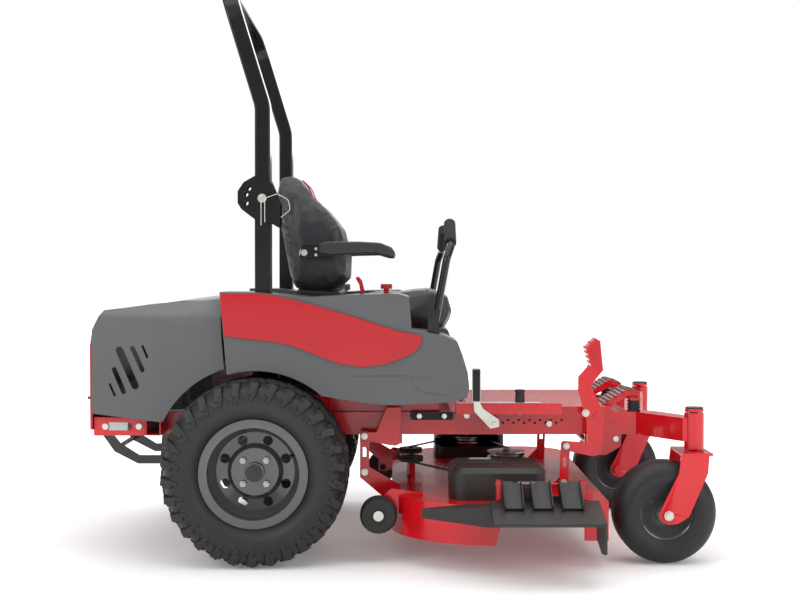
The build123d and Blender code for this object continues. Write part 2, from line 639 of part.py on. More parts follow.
def rops_hoop():
    """The folding upper hoop: two legs, a lean above the knee, and a round-cornered cross bar."""
    z0 = ROPS_PIVOT_Z
    lean = math.tan(math.radians(ROPS_LEAN))
    tilt = math.radians(ROPS_LEAN)
    top = ROPS_TOP_Z - (ROPS_WIDTH / 2 - ROPS_SIDE_FIT) * math.cos(tilt) - ROPS_DEPTH / 2 * math.sin(tilt)
    x_top = ROPS_X - (top - ROPS_KNEE_Z) * lean
    legs = None
    for side in (-1, 1):
        y = side * ROPS_Y
        pts = [(ROPS_X, y, z0), (ROPS_X, y, ROPS_KNEE_Z), (x_top, y, top), (x_top, 0, top)]
        path = tube_path(pts, [110, ROPS_CORNER_R])
        section = Rectangle(ROPS_DEPTH, ROPS_WIDTH - 2 * ROPS_SIDE_FIT)
        section = fillet(section.vertices(), 6)
        half = sweep(Plane((ROPS_X, y, z0), x_dir=(1, 0, 0), z_dir=(0, 0, 1)) * section, path=path)
        half += rod_y(ROPS_X, z0, ROPS_DEPTH / 2, y - ROPS_WIDTH / 2 + ROPS_SIDE_FIT,
                      y + ROPS_WIDTH / 2 - ROPS_SIDE_FIT)
        half -= rod_y(ROPS_X, z0, ROPS_PIN_R + ROPS_PIN_FIT, y - ROPS_WIDTH, y + ROPS_WIDTH)
        legs = half if legs is None else legs + half
    return legs


# ---- Body mouldings ----


def pod_profile():
    """The side console's outline, cut by the arch over the drive tyre."""
    return Polygon(*POD_OUTLINE, align=None) - Pos(0, WHEEL_R) * Circle(WHEEL_R + ARCH_GAP)


def pod_cavity():
    """What is hollow inside the console: open below, walled above and at both ends."""
    outline = pod_profile()
    down = -POD_SKIN
    return (Pos(POD_SKIN, down) * outline) & (Pos(-POD_SKIN, down) * outline)


def pod(sign):
    """A side console: fender, tank and control deck in one moulding."""
    shell = side_plate(pod_profile(), -POD_OUT_Y, -POD_IN_Y)
    shell -= side_plate(pod_cavity(), -POD_OUT_Y + POD_SKIN, -POD_IN_Y - POD_SKIN)
    post_x0, post_x1 = ROPS_X - ROPS_DEPTH / 2 - 4, ROPS_X + ROPS_DEPTH / 2 + 4
    post_y0, post_y1 = -ROPS_Y - ROPS_WIDTH / 2 - 4, -ROPS_Y + ROPS_WIDTH / 2 + 4
    shell -= block(post_x0, post_x1, post_y0, post_y1, 560, 900)
    shell -= block(post_x0 - 12, post_x1 + 12, -POD_IN_Y - POD_SKIN - 1, -POD_IN_Y + 1, 560,
                   ROPS_FOOT_Z + 6)
    slot_x0, slot_x1 = LEVER_X - 50, LEVER_X + 64
    shell -= block(slot_x0, slot_x1, -LEVER_Y - 13, -LEVER_Y + 15, 700, 780)
    if sign > 0:
        shell = other_side(shell)
    pieces = [shell]
    if sign < 0:
        rim = block(THROTTLE_X - 34, THROTTLE_X + 34, -452.6, -443.4, 855, 885)
        pieces = [shell - rim - rod_z(PTO_X, PTO_Y, PTO_R + RUN_FIT, 840, 890)]
    else:
        cap = rod_z(CAP_X, CAP_Y, 40, 868, 892)
        neck = rod_z(CAP_X, CAP_Y, 30, 850, 869)
        pieces = [shell - rod_z(CAP_X, CAP_Y, 30, 840, 900), cap + neck]
    return pieces


def red_panel():
    """The painted panel on a console's outer face."""
    panel = side_plate(shape2d(PANEL_OUTLINE, 3), -POD_OUT_Y - PANEL_T, -POD_OUT_Y)
    return panel


def hood_form(skin, low, grow):
    """The rear hood's form, a skin's thickness inside the outer one."""
    side = Polygon((BUMPER_X + skin, low + 25), (BUMPER_X + skin, 751), (-508 + skin, 815 - skin),
                   (-446, 820 - skin), (-125 - skin + grow, 864 - skin), (-103 - skin + grow, 621),
                   (-103 - skin + grow, low), (-327, low), align=None)
    rear_y, front_y = HOOD_REAR_Y - skin, HOOD_FRONT_Y - skin
    plan = Polygon((-541, -rear_y), (-541, rear_y), (-480, rear_y + 4), (-90, front_y), (-90, -front_y),
                   (-480, -rear_y - 4), align=None)
    front = Polygon((-front_y, low - 1), (front_y, low - 1), (front_y, 720), (front_y - 34, 792 - skin),
                    (400, 845 - skin), (0, 866 - skin), (-400, 845 - skin), (-front_y + 34, 792 - skin),
                    (-front_y, 720), align=None)
    form = side_plate(side, -600, 600) & floor_plate(plan, low - 2, 900)
    return form & cross_plate(front, -600, 0)


def rear_hood():
    """The grey engine hood, open below and in front, with five slanted slots in each side."""
    hood = hood_form(0, 453, 0) - hood_form(HOOD_SKIN, 440, 40)
    arch = rod_y(0, WHEEL_R, WHEEL_R + HOOD_ARCH_GAP, -700, 700)
    hood -= arch
    for (x0, z0), (x1, z1), width in HOOD_SLOTS:
        length = math.hypot(x1 - x0, z1 - z0) - width
        angle = math.degrees(math.atan2(z1 - z0, x1 - x0))
        slot = Pos((x0 + x1) / 2, (z0 + z1) / 2) * Rot(0, 0, angle) * SlotCenterToCenter(length, width)
        hood -= side_plate(slot, -600, 600)
    return hood


def rear_panel():
    """The red panel behind the hood, bolted to the bumper."""
    y = HOOD_REAR_Y - 8
    outline = shape2d([(-y, BUMPER_LOW + 20), (y, BUMPER_LOW + 20), (y, 700), (y - 40, 752), (-y + 40, 752),
                       (-y, 700)], 12)
    panel = cross_plate(outline, BUMPER_X - REAR_PANEL_T, BUMPER_X)
    grille = Pos(BUMPER_X - REAR_PANEL_T - 1, 0, 0)
    for i in range(7):
        z = 560 + 24 * i
        panel -= grille * block(0, REAR_PANEL_T + 2, -260, 260, z, z + 11)
    return panel


def seat_platform():
    """The sheet box between the consoles that carries the seat."""
    y = POD_IN_Y
    x0, x1 = SEAT_DECK_REAR_X, SEAT_DECK_FRONT_X
    box = block(x0, x1, -y, y, RAIL_HIGH, SEAT_DECK_Z)
    box -= block(x0 - 1, x1 - SHEET, -y + SHEET, y - SHEET, RAIL_HIGH - 1, SEAT_DECK_Z - SHEET)
    for y0 in (-y, y - 30):
        box += block(x0, x1, y0, y0 + 30, RAIL_HIGH, RAIL_HIGH + SHEET)
    ears = [block(SEAT_TILT_X - 24, x1, y1, y1 + 6, SEAT_DECK_Z, SEAT_TILT_Z + 12) for y1 in (-226, 220)]
    for ear in ears:
        box += ear
    return box - rod_y(SEAT_TILT_X - 8, SEAT_TILT_Z, 6 + RUN_FIT, -240, 240)


# ---- Engine and drive ----
def engine_block():
    """The twin-cylinder engine, its base and its silencer."""
    x, z = ENGINE_X, ENGINE_FLOOR
    base = block(x - 250, x + 150, -RAIL_OUT_Y + 6, RAIL_OUT_Y - 6, RAIL_HIGH, z)
    case = rod_z(x, 0, 130, z, z + 150) + block(x - 110, x + 110, -110, 110, z, z + 150)
    for side in (-1, 1):
        head = Pos(x + 70, side * 110, z + 70) * Rot(0, 0, side * 38) * Box(110, 190, 110)
        for i in range(5):
            fin = Pos(x + 70, side * 110, z + 30 + 20 * i) * Rot(0, 0, side * 38) * Box(140, 150, 6)
            head += fin
        case += head
    case &= block(x - 200, x + 162, -270, 270, z, z + 150)
    shaft = rod_z(x, 0, SPINDLE_R, CLUTCH_Z - 10, z)
    silencer = rod_y(x - 190, z + 52, 52, -180, 180)
    return [case + base + shaft, silencer]


def engine_shroud():
    """The fan housing and its round air screen."""
    x, z = ENGINE_X, ENGINE_FLOOR + 150
    shroud = block(x - 150, x + 120, -150, 150, z, z + 90)
    shroud = fillet(shroud.edges().filter_by(Axis.Z), 60)
    screen = rod_z(x - 10, 0, 105, z + 90, z + 112)
    for r in (30, 55, 80):
        screen -= rod_z(x - 10, 0, r + 6, z + 104, z + 113) - rod_z(x - 10, 0, r, z + 103, z + 114)
    return [fillet(shroud.edges().group_by(Axis.Z)[-1], 12) + screen]


def clutch_pulley():
    """The electric clutch and belt pulley under the engine."""
    outline = Polygon((SPINDLE_R + 0.08, 0), (CLUTCH_R, 0), (CLUTCH_R, 5), (CLUTCH_R - 12, 14), (CLUTCH_R,
            23),
                      (CLUTCH_R, 28), (CLUTCH_R - 8, 34), (CLUTCH_R - 8, 80), (SPINDLE_R + 0.08, 80),
                      align=None)
    return Pos(ENGINE_X, 0, CLUTCH_Z - 6) * revolve(Plane.XZ * outline, Axis.Z)


def transaxle():
    """One pump and motor unit, hung under a rail."""
    y0, y1 = -TRANSAXLE_OUT_Y, -TRANSAXLE_IN_Y
    case = block(-90, 110, y0, y1, 232, 372)
    case = fillet(case.edges().filter_by(Axis.Y), 30)
    pump = rod_z(60, (y0 + y1) / 2, 48, 372, 400)
    for z in (380, 390):
        pump -= rod_z(60, (y0 + y1) / 2, 50, z, z + 4) - rod_z(60, (y0 + y1) / 2, 40, z - 1, z + 5)
    lug = block(-60, 30, -RAIL_OUT_Y + 6, -RAIL_OUT_Y + RAIL_W - 6, 372, RAIL_LOW)
    nose = rod_y(0, WHEEL_R, 40, y0 - 26, y0)
    bore = rod_y(0, WHEEL_R, AXLE_R + RUN_FIT, y0 - 27, y1 - 26)
    return case + pump + lug + nose - bore


# ---- Seat ----
def seat_frame():
    """The tilting seat plate with its two slide rails."""
    z = SEAT_FRAME_Z
    plate = block(SEAT_DECK_REAR_X + 10, SEAT_TILT_X - 14, -210, 210, z - 10, z - 6)
    for y0 in (-210, 206):
        plate += block(SEAT_DECK_REAR_X + 10, SEAT_TILT_X - 14, y0, y0 + 4, z - 46, z - 10)
    for y in (-216, 204):
        plate += block(SEAT_TILT_X - 30, SEAT_TILT_X + 2, y, y + 12, SEAT_TILT_Z - 10, z - 6)
    pin = rod_y(SEAT_TILT_X - 8, SEAT_TILT_Z, 6, -234, 234)
    plate += pin
    for y0 in (-190, 158):
        plate += block(SEAT_DECK_REAR_X + 10, SEAT_TILT_X - 30, y0, y0 + 32, z - 6, z)
    return plate


def seat_back():
    """The backrest, with the armrest brackets at its sides."""
    outline = shape2d(BACK_OUTLINE, 9)
    back = side_plate(outline, -SEAT_HALF, SEAT_HALF)
    crown = Polygon((-SEAT_HALF, 850), (-SEAT_HALF, 1120), (-SEAT_HALF + 60, 1240), (-SEAT_HALF + 120,
            1290),
                    (SEAT_HALF - 120, 1290), (SEAT_HALF - 60, 1240), (SEAT_HALF, 1120), (SEAT_HALF, 850),
                    align=None)
    back &= cross_plate(crown, 0, 400)
    shell = block(110, 262, -236, 236, SEAT_FRAME_Z + 64, 890)
    return [back, fillet(shell.edges().filter_by(Axis.Z), 12) - back]


def seat_cushion():
    """The seat cushion with its deep front roll, and the pan under it."""
    side = Spline((310, 756), (312, 846), (338, 868), (470, 862), (580, 886), (640, 868), (655, 800),
                  (624, 736))
    closing = Polyline(side @ 1, (560, SEAT_FRAME_Z + 43), (330, SEAT_FRAME_Z + 43), side @ 0)
    form = make_face(side + closing)
    cushion = side_plate(form, -SEAT_HALF + 6, SEAT_HALF - 6)
    pan = block(262, 548, -228, 228, SEAT_FRAME_Z + SEAT_GAP, SEAT_FRAME_Z + 40)
    pan += block(290, 540, -200, 200, SEAT_FRAME_Z + 40, SEAT_FRAME_Z + 43)
    return [cushion, pan + block(230, 262, -228, 228, SEAT_FRAME_Z + SEAT_GAP, SEAT_FRAME_Z + 64)]


def armrest():
    """A padded armrest with its bracket arm, folding up beside the backrest."""
    x, z = ARMREST_X, ARMREST_Z
    y0 = -ARMREST_Y + ARMREST_W / 2
    pad = shape2d([(x - 15, z + 6), (x + 20, z + 38), (x + 300, z + 38), (x + 311, z + 14), (x + 296,
            z - 14),
                   (x + 40, z - 22), (x - 8, z - 20)], 10)
    arm = side_plate(pad, -ARMREST_Y - ARMREST_W / 2, y0)
    boss = rod_y(x, z, 20, y0, -SEAT_HALF - 0.6)
    return arm + boss - rod_y(x, z, 7 + RUN_FIT, -ARMREST_Y - 5, -SEAT_HALF + 1)


def armrest_pin():
    """The stud in the backrest that the armrest turns on."""
    return rod_y(ARMREST_X, ARMREST_Z, 7, -ARMREST_Y, -SEAT_HALF)


# ---- Steering levers ----
def lever_base():
    """The upright plate of a lever, on its pivot inside the console."""
    y0 = -LEVER_Y - LEVER_PLATE / 2
    y1 = y0 + LEVER_PLATE
    x = LEVER_X
    plate = side_plate(shape2d([(x - 18, LEVER_PIVOT_Z - 20), (x + 18, LEVER_PIVOT_Z - 20), (x + 20, 740),
                                (x + 16, 812), (x - 16, 812), (x - 20, 740)], 6), y0, y1)
    pivot = rod_y(x, LEVER_PIVOT_Z, 12, -POD_OUT_Y + POD_SKIN + RUN_FIT, y0)
    pivot += rod_y(x, LEVER_PIVOT_Z, 12, y1, -POD_IN_Y - POD_SKIN - RUN_FIT)
    return [plate + pivot]


def lever_bolts():
    """The bolts that clamp the lever's upper tube to its base."""
    y0 = -LEVER_Y - LEVER_PLATE / 2
    bolts = [hex_y(LEVER_X, z, 13, y0 - 7, y0) for z in (800, 739)]
    return bolts


def lever_tube():
    """The folding upper tube: a bracket, a bent tube, and its straight end inside the grip."""
    y1 = -LEVER_Y + LEVER_PLATE / 2 + LEVER_STRAP_GAP
    x = LEVER_X
    strap = side_plate(shape2d([(x - 15, LEVER_FOLD_Z), (x + 16, LEVER_FOLD_Z), (x + 22, LEVER_STRAP_TOP),
                                (x - 12, LEVER_STRAP_TOP)], 5), y1, y1 + 7)
    y_tube = y1 + 7 + LEVER_TUBE_R - 3
    pts = [(x + 4, y_tube, 764), (x + 44, y_tube, 985), (x + 57, y_tube + 24, 1020),
           (x + 59, y_tube + 170, 1098)]
    tube = swept(tube_path(pts, [30, 22]), Circle(LEVER_TUBE_R))
    return strap + tube


def lever_grip():
    """The foam grip on the lever's end."""
    y_tube = -LEVER_Y + LEVER_PLATE / 2 + 7.6 + LEVER_TUBE_R - 3
    a = Vector(LEVER_X + 57, y_tube + 24, 1020)
    b = Vector(LEVER_X + 59, y_tube + 170, 1098)
    way = (b - a).normalized()
    grip = Plane(a + way * 34, z_dir=way) * extrude(Circle(GRIP_R) - Circle(LEVER_TUBE_R),
                                                    (b - a).length - 34)
    end = Plane(b, z_dir=way) * extrude(Circle(GRIP_R), 8)
    return grip + end


def throttle_lever():
    """The curved hand lever on the right console."""
    outline = shape2d([(THROTTLE_X - 8, 846), (THROTTLE_X + 6, 846), (THROTTLE_X + 10, 880),
                       (THROTTLE_X + 2, 912),
                       (THROTTLE_X - 10, 926), (THROTTLE_X - 20, 920), (THROTTLE_X - 8, 900),
                       (THROTTLE_X - 4, 880)], 3)
    boss = rod_y(THROTTLE_X, 850, 4, THROTTLE_Y - 6, THROTTLE_Y + 6)
    return side_plate(outline, THROTTLE_Y - 4, THROTTLE_Y + 4) + boss


def pto_knob():
    """The pull knob that engages the blades."""
    stem = rod_z(PTO_X, PTO_Y, PTO_R, 846, 884)
    return stem + rod_z(PTO_X, PTO_Y, 19, 884, 900)


# ---- Cutter deck ----
def deck_outline():
    """The deck's plan: rounded at the rear, notched for the chute at the front right."""
    r, l = DECK_RIGHT_Y, DECK_LEFT_Y
    notch = r + 83
    plan = Polygon((DECK_REAR_X, r), (CHUTE_FRONT_X, r), (CHUTE_FRONT_X, notch), (DECK_FRONT_X, notch),
                   (DECK_FRONT_X, l), (DECK_REAR_X, l), align=None)
    corners = plan.vertices()
    rear = [v for v in corners if v.X < DECK_REAR_X + 1]
    plan = fillet(rear, DECK_CORNER_R)
    front = [v for v in plan.vertices() if v.X > DECK_FRONT_X - 1 and v.Y > l - 1]
    return fillet(front, 170)


def deck_shell():
    """The pressed deck: top, skirt, spindle housings, hanger ears and roller brackets."""
    plan = deck_outline()
    shell = floor_plate(plan, DECK_LOW, DECK_TOP)
    shell -= floor_plate(offset(plan, -DECK_WALL), DECK_LOW - 1, DECK_TOP - DECK_WALL)
    mouth = side_plate(Polygon((CHUTE_REAR_X - 14, DECK_LOW - 1), (CHUTE_REAR_X + 10, DECK_TOP - 14),
                               (CHUTE_FRONT_X + 1, DECK_TOP - 14), (CHUTE_FRONT_X + 1, DECK_LOW - 1),
                               align=None),
                       DECK_RIGHT_Y - 2, DECK_RIGHT_Y + 84)
    shell -= mouth
    for x, y in SPINDLE_PLACES.values():
        shell += rod_z(x, y, 92, DECK_TOP, DECK_TOP + 6) + rod_z(x, y, 44, DECK_TOP + 6, PULLEY_LOW - 6)
        shell -= rod_z(x, y, SPINDLE_R + 0.08, DECK_TOP - DECK_WALL - 1, PULLEY_LOW)
    for x, y in IDLER_PLACES:
        shell += rod_z(x, y, 14, DECK_TOP, PULLEY_LOW)
    ears = hanger_ear(1011, 236, 975) + hanger_ear(347, 272, 448)
    shell += ears + other_side(ears) + roller_bracket() + deck_other_side(roller_bracket())
    for x in (CHUTE_REAR_X - 8, CHUTE_FRONT_X - 22):
        shell += block(x - 7, x + 7, CHUTE_HINGE_Y - 12, DECK_RIGHT_Y + 30, DECK_TOP, CHUTE_HINGE_Z + 10)
    shell -= rod_x(CHUTE_HINGE_Y, CHUTE_HINGE_Z, 5 + RUN_FIT, CHUTE_REAR_X - 30, CHUTE_FRONT_X + 10)
    return shell


def deck_other_side(shape):
    """The same piece on the deck's left, about the deck's own middle."""
    return mirror(shape, about=Plane.XZ.offset(-(DECK_LEFT_Y + DECK_RIGHT_Y) / 2))


def hanger_ear(x, z, x_foot):
    """An upright ear on the deck that a lift strap hangs from."""
    y = -STRAP_IN_Y + 1
    lo, hi = min(x, x_foot) - 16, max(x, x_foot) + 16
    if x > DECK_REAR_X:
        outline = [(lo, DECK_TOP), (hi, DECK_TOP), (x + 15, z + 16), (x - 15, z + 16)]
    else:
        outline = [(x - 16, z - 18), (DECK_REAR_X + 2, DECK_TOP - 52), (DECK_REAR_X + 30, DECK_TOP),
                   (DECK_REAR_X + 30, DECK_TOP + 12), (x + 15, z + 16), (x - 16, z + 16)]
    ear = side_plate(Polygon(*outline, align=None), y, y + 8)
    if x < DECK_REAR_X:
        ear -= floor_plate(offset(deck_outline(), -DECK_WALL), DECK_LOW, DECK_TOP - DECK_WALL)
    return ear - rod_y(x, z, LIFT_PIN_R + RUN_FIT, y - 1, y + 9)


def roller_bracket():
    """The triangular plate behind the deck that holds an anti-scalp roller on its inner side."""
    y = -ROLLER_Y + ROLLER_W / 2 + 3
    outline = shape2d([(ROLLER_X - 18, ROLLER_Z - 16), (ROLLER_X + 14, ROLLER_Z - 18), (540, DECK_TOP - 26),
                       (540, DECK_TOP + 8), (ROLLER_X + 40, DECK_TOP + 22), (ROLLER_X - 18,
                               ROLLER_Z + 24)], 6)
    plate = side_plate(outline, y, y + ROLLER_PLATE)
    plate -= floor_plate(offset(deck_outline(), -DECK_WALL), DECK_LOW - 1, DECK_TOP - DECK_WALL)
    return plate - rod_y(ROLLER_X, ROLLER_Z, ROLLER_PIN_R + RUN_FIT, y - 1, y + ROLLER_PLATE + 1)


def roller(sign):
    """An anti-scalp roller and the bolt it turns on."""
    y = -ROLLER_Y
    half = ROLLER_W / 2
    outline = Polygon((ROLLER_PIN_R - 2, -half), (ROLLER_R - 8, -half), (ROLLER_R, -half + 14), (ROLLER_R,
            half - 14),
                      (ROLLER_R - 8, half), (ROLLER_PIN_R - 2, half), align=None)
    wheel = Pos(ROLLER_X, y, ROLLER_Z) * revolve(outline, Axis.Y)
    nut_y = y + half + 3 + ROLLER_PLATE + RUN_FIT
    wheel += rod_y(ROLLER_X, ROLLER_Z, ROLLER_PIN_R, y - half - 2, nut_y + 8)
    wheel += hex_y(ROLLER_X, ROLLER_Z, 22, y - half - 8, y - half + 1)
    wheel += hex_y(ROLLER_X, ROLLER_Z, 22, nut_y, nut_y + 7)
    return wheel if sign < 0 else deck_other_side(wheel)


def spindle(name):
    """A blade with its spindle and pulley."""
    x, y = SPINDLE_PLACES[name]
    z = PULLEY_LOW
    groove = Polygon((SPINDLE_R - 1, 0), (PULLEY_R, 0), (PULLEY_R, 4), (PULLEY_R - BELT_T - 2, 9),
                     (PULLEY_R - BELT_T - 2, PULLEY_T - 9), (PULLEY_R, PULLEY_T - 4), (PULLEY_R, PULLEY_T),
                     (SPINDLE_R - 1, PULLEY_T), align=None)
    wheel = Pos(x, y, z) * revolve(Plane.XZ * groove, Axis.Z)
    shaft = rod_z(x, y, SPINDLE_R, DECK_LOW + 20, z + PULLEY_T + 8)
    blade = Pos(x, y, DECK_LOW + 26) * Rot(0, 0, 20) * Box(2 * BLADE_R, 60, 6)
    washer = rod_z(x, y, 30, DECK_LOW + 29, DECK_LOW + 50)
    return wheel + shaft + blade + washer + hex_z(x, y, 30, DECK_LOW + 10, DECK_LOW + 22)


def deck_belt():
    """The flat loop of belt around the three blade pulleys and the two rear idlers."""
    groove_r = PULLEY_R - BELT_T - 2
    loop = [("left", groove_r), ("centre", groove_r), ("right", groove_r)]
    circles = [(SPINDLE_PLACES[n], r) for n, r in loop]
    circles += [(IDLER_PLACES[0], IDLER_R), (IDLER_PLACES[1], IDLER_R)]
    hull_out = make_hull([e for (c, r) in circles for e in (Pos(*c) * Circle(r + BELT_T)).edges()])
    hull_in = make_hull([e for (c, r) in circles for e in (Pos(*c) * Circle(r + 0.3)).edges()])
    z0 = PULLEY_LOW + 9.4
    belt = floor_plate(hull_out - hull_in, z0, PULLEY_LOW + PULLEY_T - 9.4)
    return belt


def idlers():
    """The two plain pulleys that keep the belt tight."""
    z = PULLEY_LOW
    return [rod_z(x, y, IDLER_R, z + 2, z + 20) - rod_z(x, y, 8, z, z + 22) + rod_z(x, y, 8, z, z + 26)
            for x, y in IDLER_PLACES]


def belt_cover(x0, x1, y0, y1):
    """A moulded cover over one outer pulley."""
    cover = block(x0, x1, y0, y1, DECK_TOP, COVER_TOP)
    inside = block(x0 + COVER_SKIN, x1 - COVER_SKIN, y0 + COVER_SKIN, y1 - COVER_SKIN, DECK_TOP - 1,
                   COVER_TOP - COVER_SKIN)
    cover = fillet(cover.edges().filter_by(Axis.Z), 50)
    cover = chamfer(cover.edges().group_by(Axis.Z)[-1], 16)
    inside = fillet(inside.edges().filter_by(Axis.Z), 46)
    return cover - chamfer(inside.edges().group_by(Axis.Z)[-1], 14)


def belt_covers():
    """The two covers, open towards the middle for the belt."""
    right = belt_cover(626, 933, -640, -352) - block(600, 960, -362, -340, PULLEY_LOW - 8, COVER_TOP - 8)
    left = belt_cover(600, 870, 375, 668) - block(580, 900, 360, 386, PULLEY_LOW - 8, COVER_TOP - 8)
    belt_gap = floor_plate(deck_belt_zone(), PULLEY_LOW, PULLEY_LOW + PULLEY_T)
    return [right - belt_gap, left - belt_gap]


def deck_belt_zone():
    """The ground that the belt's loop and its clearance cover."""
    circles = [(c, PULLEY_R + 6) for c in SPINDLE_PLACES.values()] + [(c,
            IDLER_R + 16) for c in IDLER_PLACES]
    return make_hull([e for (c, r) in circles for e in (Pos(*c) * Circle(r)).edges()])


def chute_deflector():
    """The hinged grass deflector: three box ribs, a sloping top, a lip and a turned-down front flap."""
    hy, hz = CHUTE_HINGE_Y, CHUTE_HINGE_Z
    ty, tz = CHUTE_TIP_Y, CHUTE_TIP_Z
    t = 9.0
    x0, x1 = CHUTE_REAR_X + 4, CHUTE_FRONT_X - 36
    body = cross_plate(Polygon((hy - 18, 222), (-835, 212), (ty, tz), (ty, tz + t + 1), (-838, 226),
                               (hy - 18, 236), align=None), x0 - 40, x0 + 296)
    ribs = None
    for x in (x0, (x0 + x1) / 2 - 16, x1 - 32):
        rib = cross_plate(Polygon((hy + 9, hz - 9), (hy + 9, hz + 9), (hy - 14, hz + 12), (-852, 228),
                                  (-846, 214), (hy - 18, 224), (hy - 12, hz - 12), align=None), x, x + 32)
        ribs = rib if ribs is None else ribs + rib
    beam = block(x0, x1, hy - 30, hy - 18, 230, 250)
    tail = x0 - 20
    lip = side_plate(Polygon((CHUTE_TAIL_X, 196), (721, 168), (tail, 166), (tail, 222), (CHUTE_TAIL_X, 222),
                             align=None), -846, -838)
    top = floor_plate(Polygon((CHUTE_TAIL_X, -846), (tail, -846), (tail, hy - 18), (690, hy - 18),
                              align=None), 218, 226)
    flap_x = x0 + 296
    flap = cross_plate(Polygon((hy - 18, 222), (-835, 212), (ty, tz), (ty, 104), (ty + 60, 96), (hy - 40,
            120),
                               align=None), flap_x - t, flap_x)
    chute = body + ribs + beam + flap + lip + top
    return chute - rod_x(hy, hz, 5 + RUN_FIT, x0 - 40, x1 + 60)


def chute_rod():
    """The hinge rod of the deflector."""
    return rod_x(CHUTE_HINGE_Y, CHUTE_HINGE_Z, 5, CHUTE_REAR_X - 18, CHUTE_FRONT_X - 10)


# ---- Deck lift ----
def strap(x_low, z_low, x_high, z_high):
    """A hanging strap between a lift arm and a deck ear, with its two bolts."""
    y0 = -STRAP_IN_Y - STRAP_T
    w = 15.5
    bar = side_plate(shape2d([(x_low - w, z_low - 15), (x_low + w, z_low - 15), (x_high + w, z_high + 15),
                              (x_high - w, z_high + 15)], 10), y0, y0 + STRAP_T)
    mid_z = z_low + 0.55 * (z_high - z_low)
    mid_x = x_low + 0.55 * (x_high - x_low)
    bar -= Pos(mid_x, 0, mid_z) * block(-6, 6, y0 - 1, y0 + STRAP_T + 1, -16, 16)
    low = rod_y(x_low, z_low, LIFT_PIN_R, y0 + 1, -STRAP_IN_Y + 12)
    low += hex_y(x_low, z_low, 18, -STRAP_IN_Y + 9.4, -STRAP_IN_Y + 16)
    high = hex_y(x_high, z_high, 18, -STRAP_IN_Y, -STRAP_IN_Y + 6)
    return bar + low + high


def lift_pedal():
    """The lift pedal and its lever on the front cross shaft, with the left side's short arm."""
    y0 = -ARM_IN_Y - ARM_T
    lever = side_plate(Polygon(*PEDAL_OUTLINE, align=None), y0, -ARM_IN_Y)
    tread = side_plate(Polygon((1075, 690), (1107, 723), (1113, 720), (1083, 684), (1100, 632), (1092,
            629), align=None),
                       y0 - 58, y0)
    arm = side_plate(shape2d([(1136, 330), (1106, 328), (1004, 346), (1004, 376), (1106, 370), (1136,
            366)], 8),
                     ARM_IN_Y, ARM_IN_Y + ARM_T)
    shaft = rod_y(PEDAL_X, PEDAL_Z, LIFT_SHAFT_R, y0 + 1, ARM_IN_Y + ARM_T - 1)
    bolt = hex_y(1121, 463, 18, y0 - 8, y0)
    links = [hex_y(FRONT_STRAP[2], FRONT_STRAP[3], 18, y0 - 8, y0)]
    whole = lever + tread + arm + shaft + bolt
    for link in links:
        whole += link + other_side(link)
    return whole


def rear_cranks():
    """The rear cross shaft with a crank at each end."""
    x, z = CRANK_X, CRANK_Z
    outline = shape2d([(x - 112, z + 2), (x - 112, z + 28), (x - 60, z + 26), (x - 26, z + 110), (x + 22,
            z + 110),
                       (x + 22, z + 60), (x + 18, z - 14), (x - 14, z - 16)], 8)
    crank = side_plate(outline, -ARM_IN_Y - ARM_T, -ARM_IN_Y)
    bolt = hex_y(x - LIFT_ARM, z + 15, 18, -ARM_IN_Y - ARM_T - 8, -ARM_IN_Y - ARM_T)
    shaft = rod_y(x, z, LIFT_SHAFT_R, -ARM_IN_Y - ARM_T + 1, ARM_IN_Y + ARM_T - 1)
    right = crank + bolt
    return right + other_side(right) + shaft


def frame_bolts():
    """The bolts that show on the frame."""
    bolts = []
    for x, z, skin in ((CHANNEL_REAR_X + 40, 456, SHEET), (968, 428, 0)):
        bolts.append(hex_y(x, z, 18, -RAIL_OUT_Y - skin - 8, -RAIL_OUT_Y - skin))
    pad_y = -RAIL_OUT_Y - 20
    for x in (530, 614):
        bolts.append(hex_y(x, 456, 16, pad_y - 7, pad_y))
    gold = hex_y(PEDAL_X + 74, PEDAL_Z + 30, 18, -RAIL_OUT_Y - 14, -RAIL_OUT_Y - 6)
    bumper = [hex_y(x, 434, 19, -BUMPER_Y - 8, -BUMPER_Y) for x in (-500, -390)]
    lock = rod_y(LOCK_X, LOCK_Z, 7, -RAIL_OUT_Y - CHANNEL_W - 12, -RAIL_OUT_Y)
    panel = [rod_x(y, 700, 8, BUMPER_X - REAR_PANEL_T - 5, BUMPER_X - REAR_PANEL_T) for y in (-430, 430)]
    return both(bolts[2:] + [gold] + bumper) + bolts[:2] + [lock] + panel


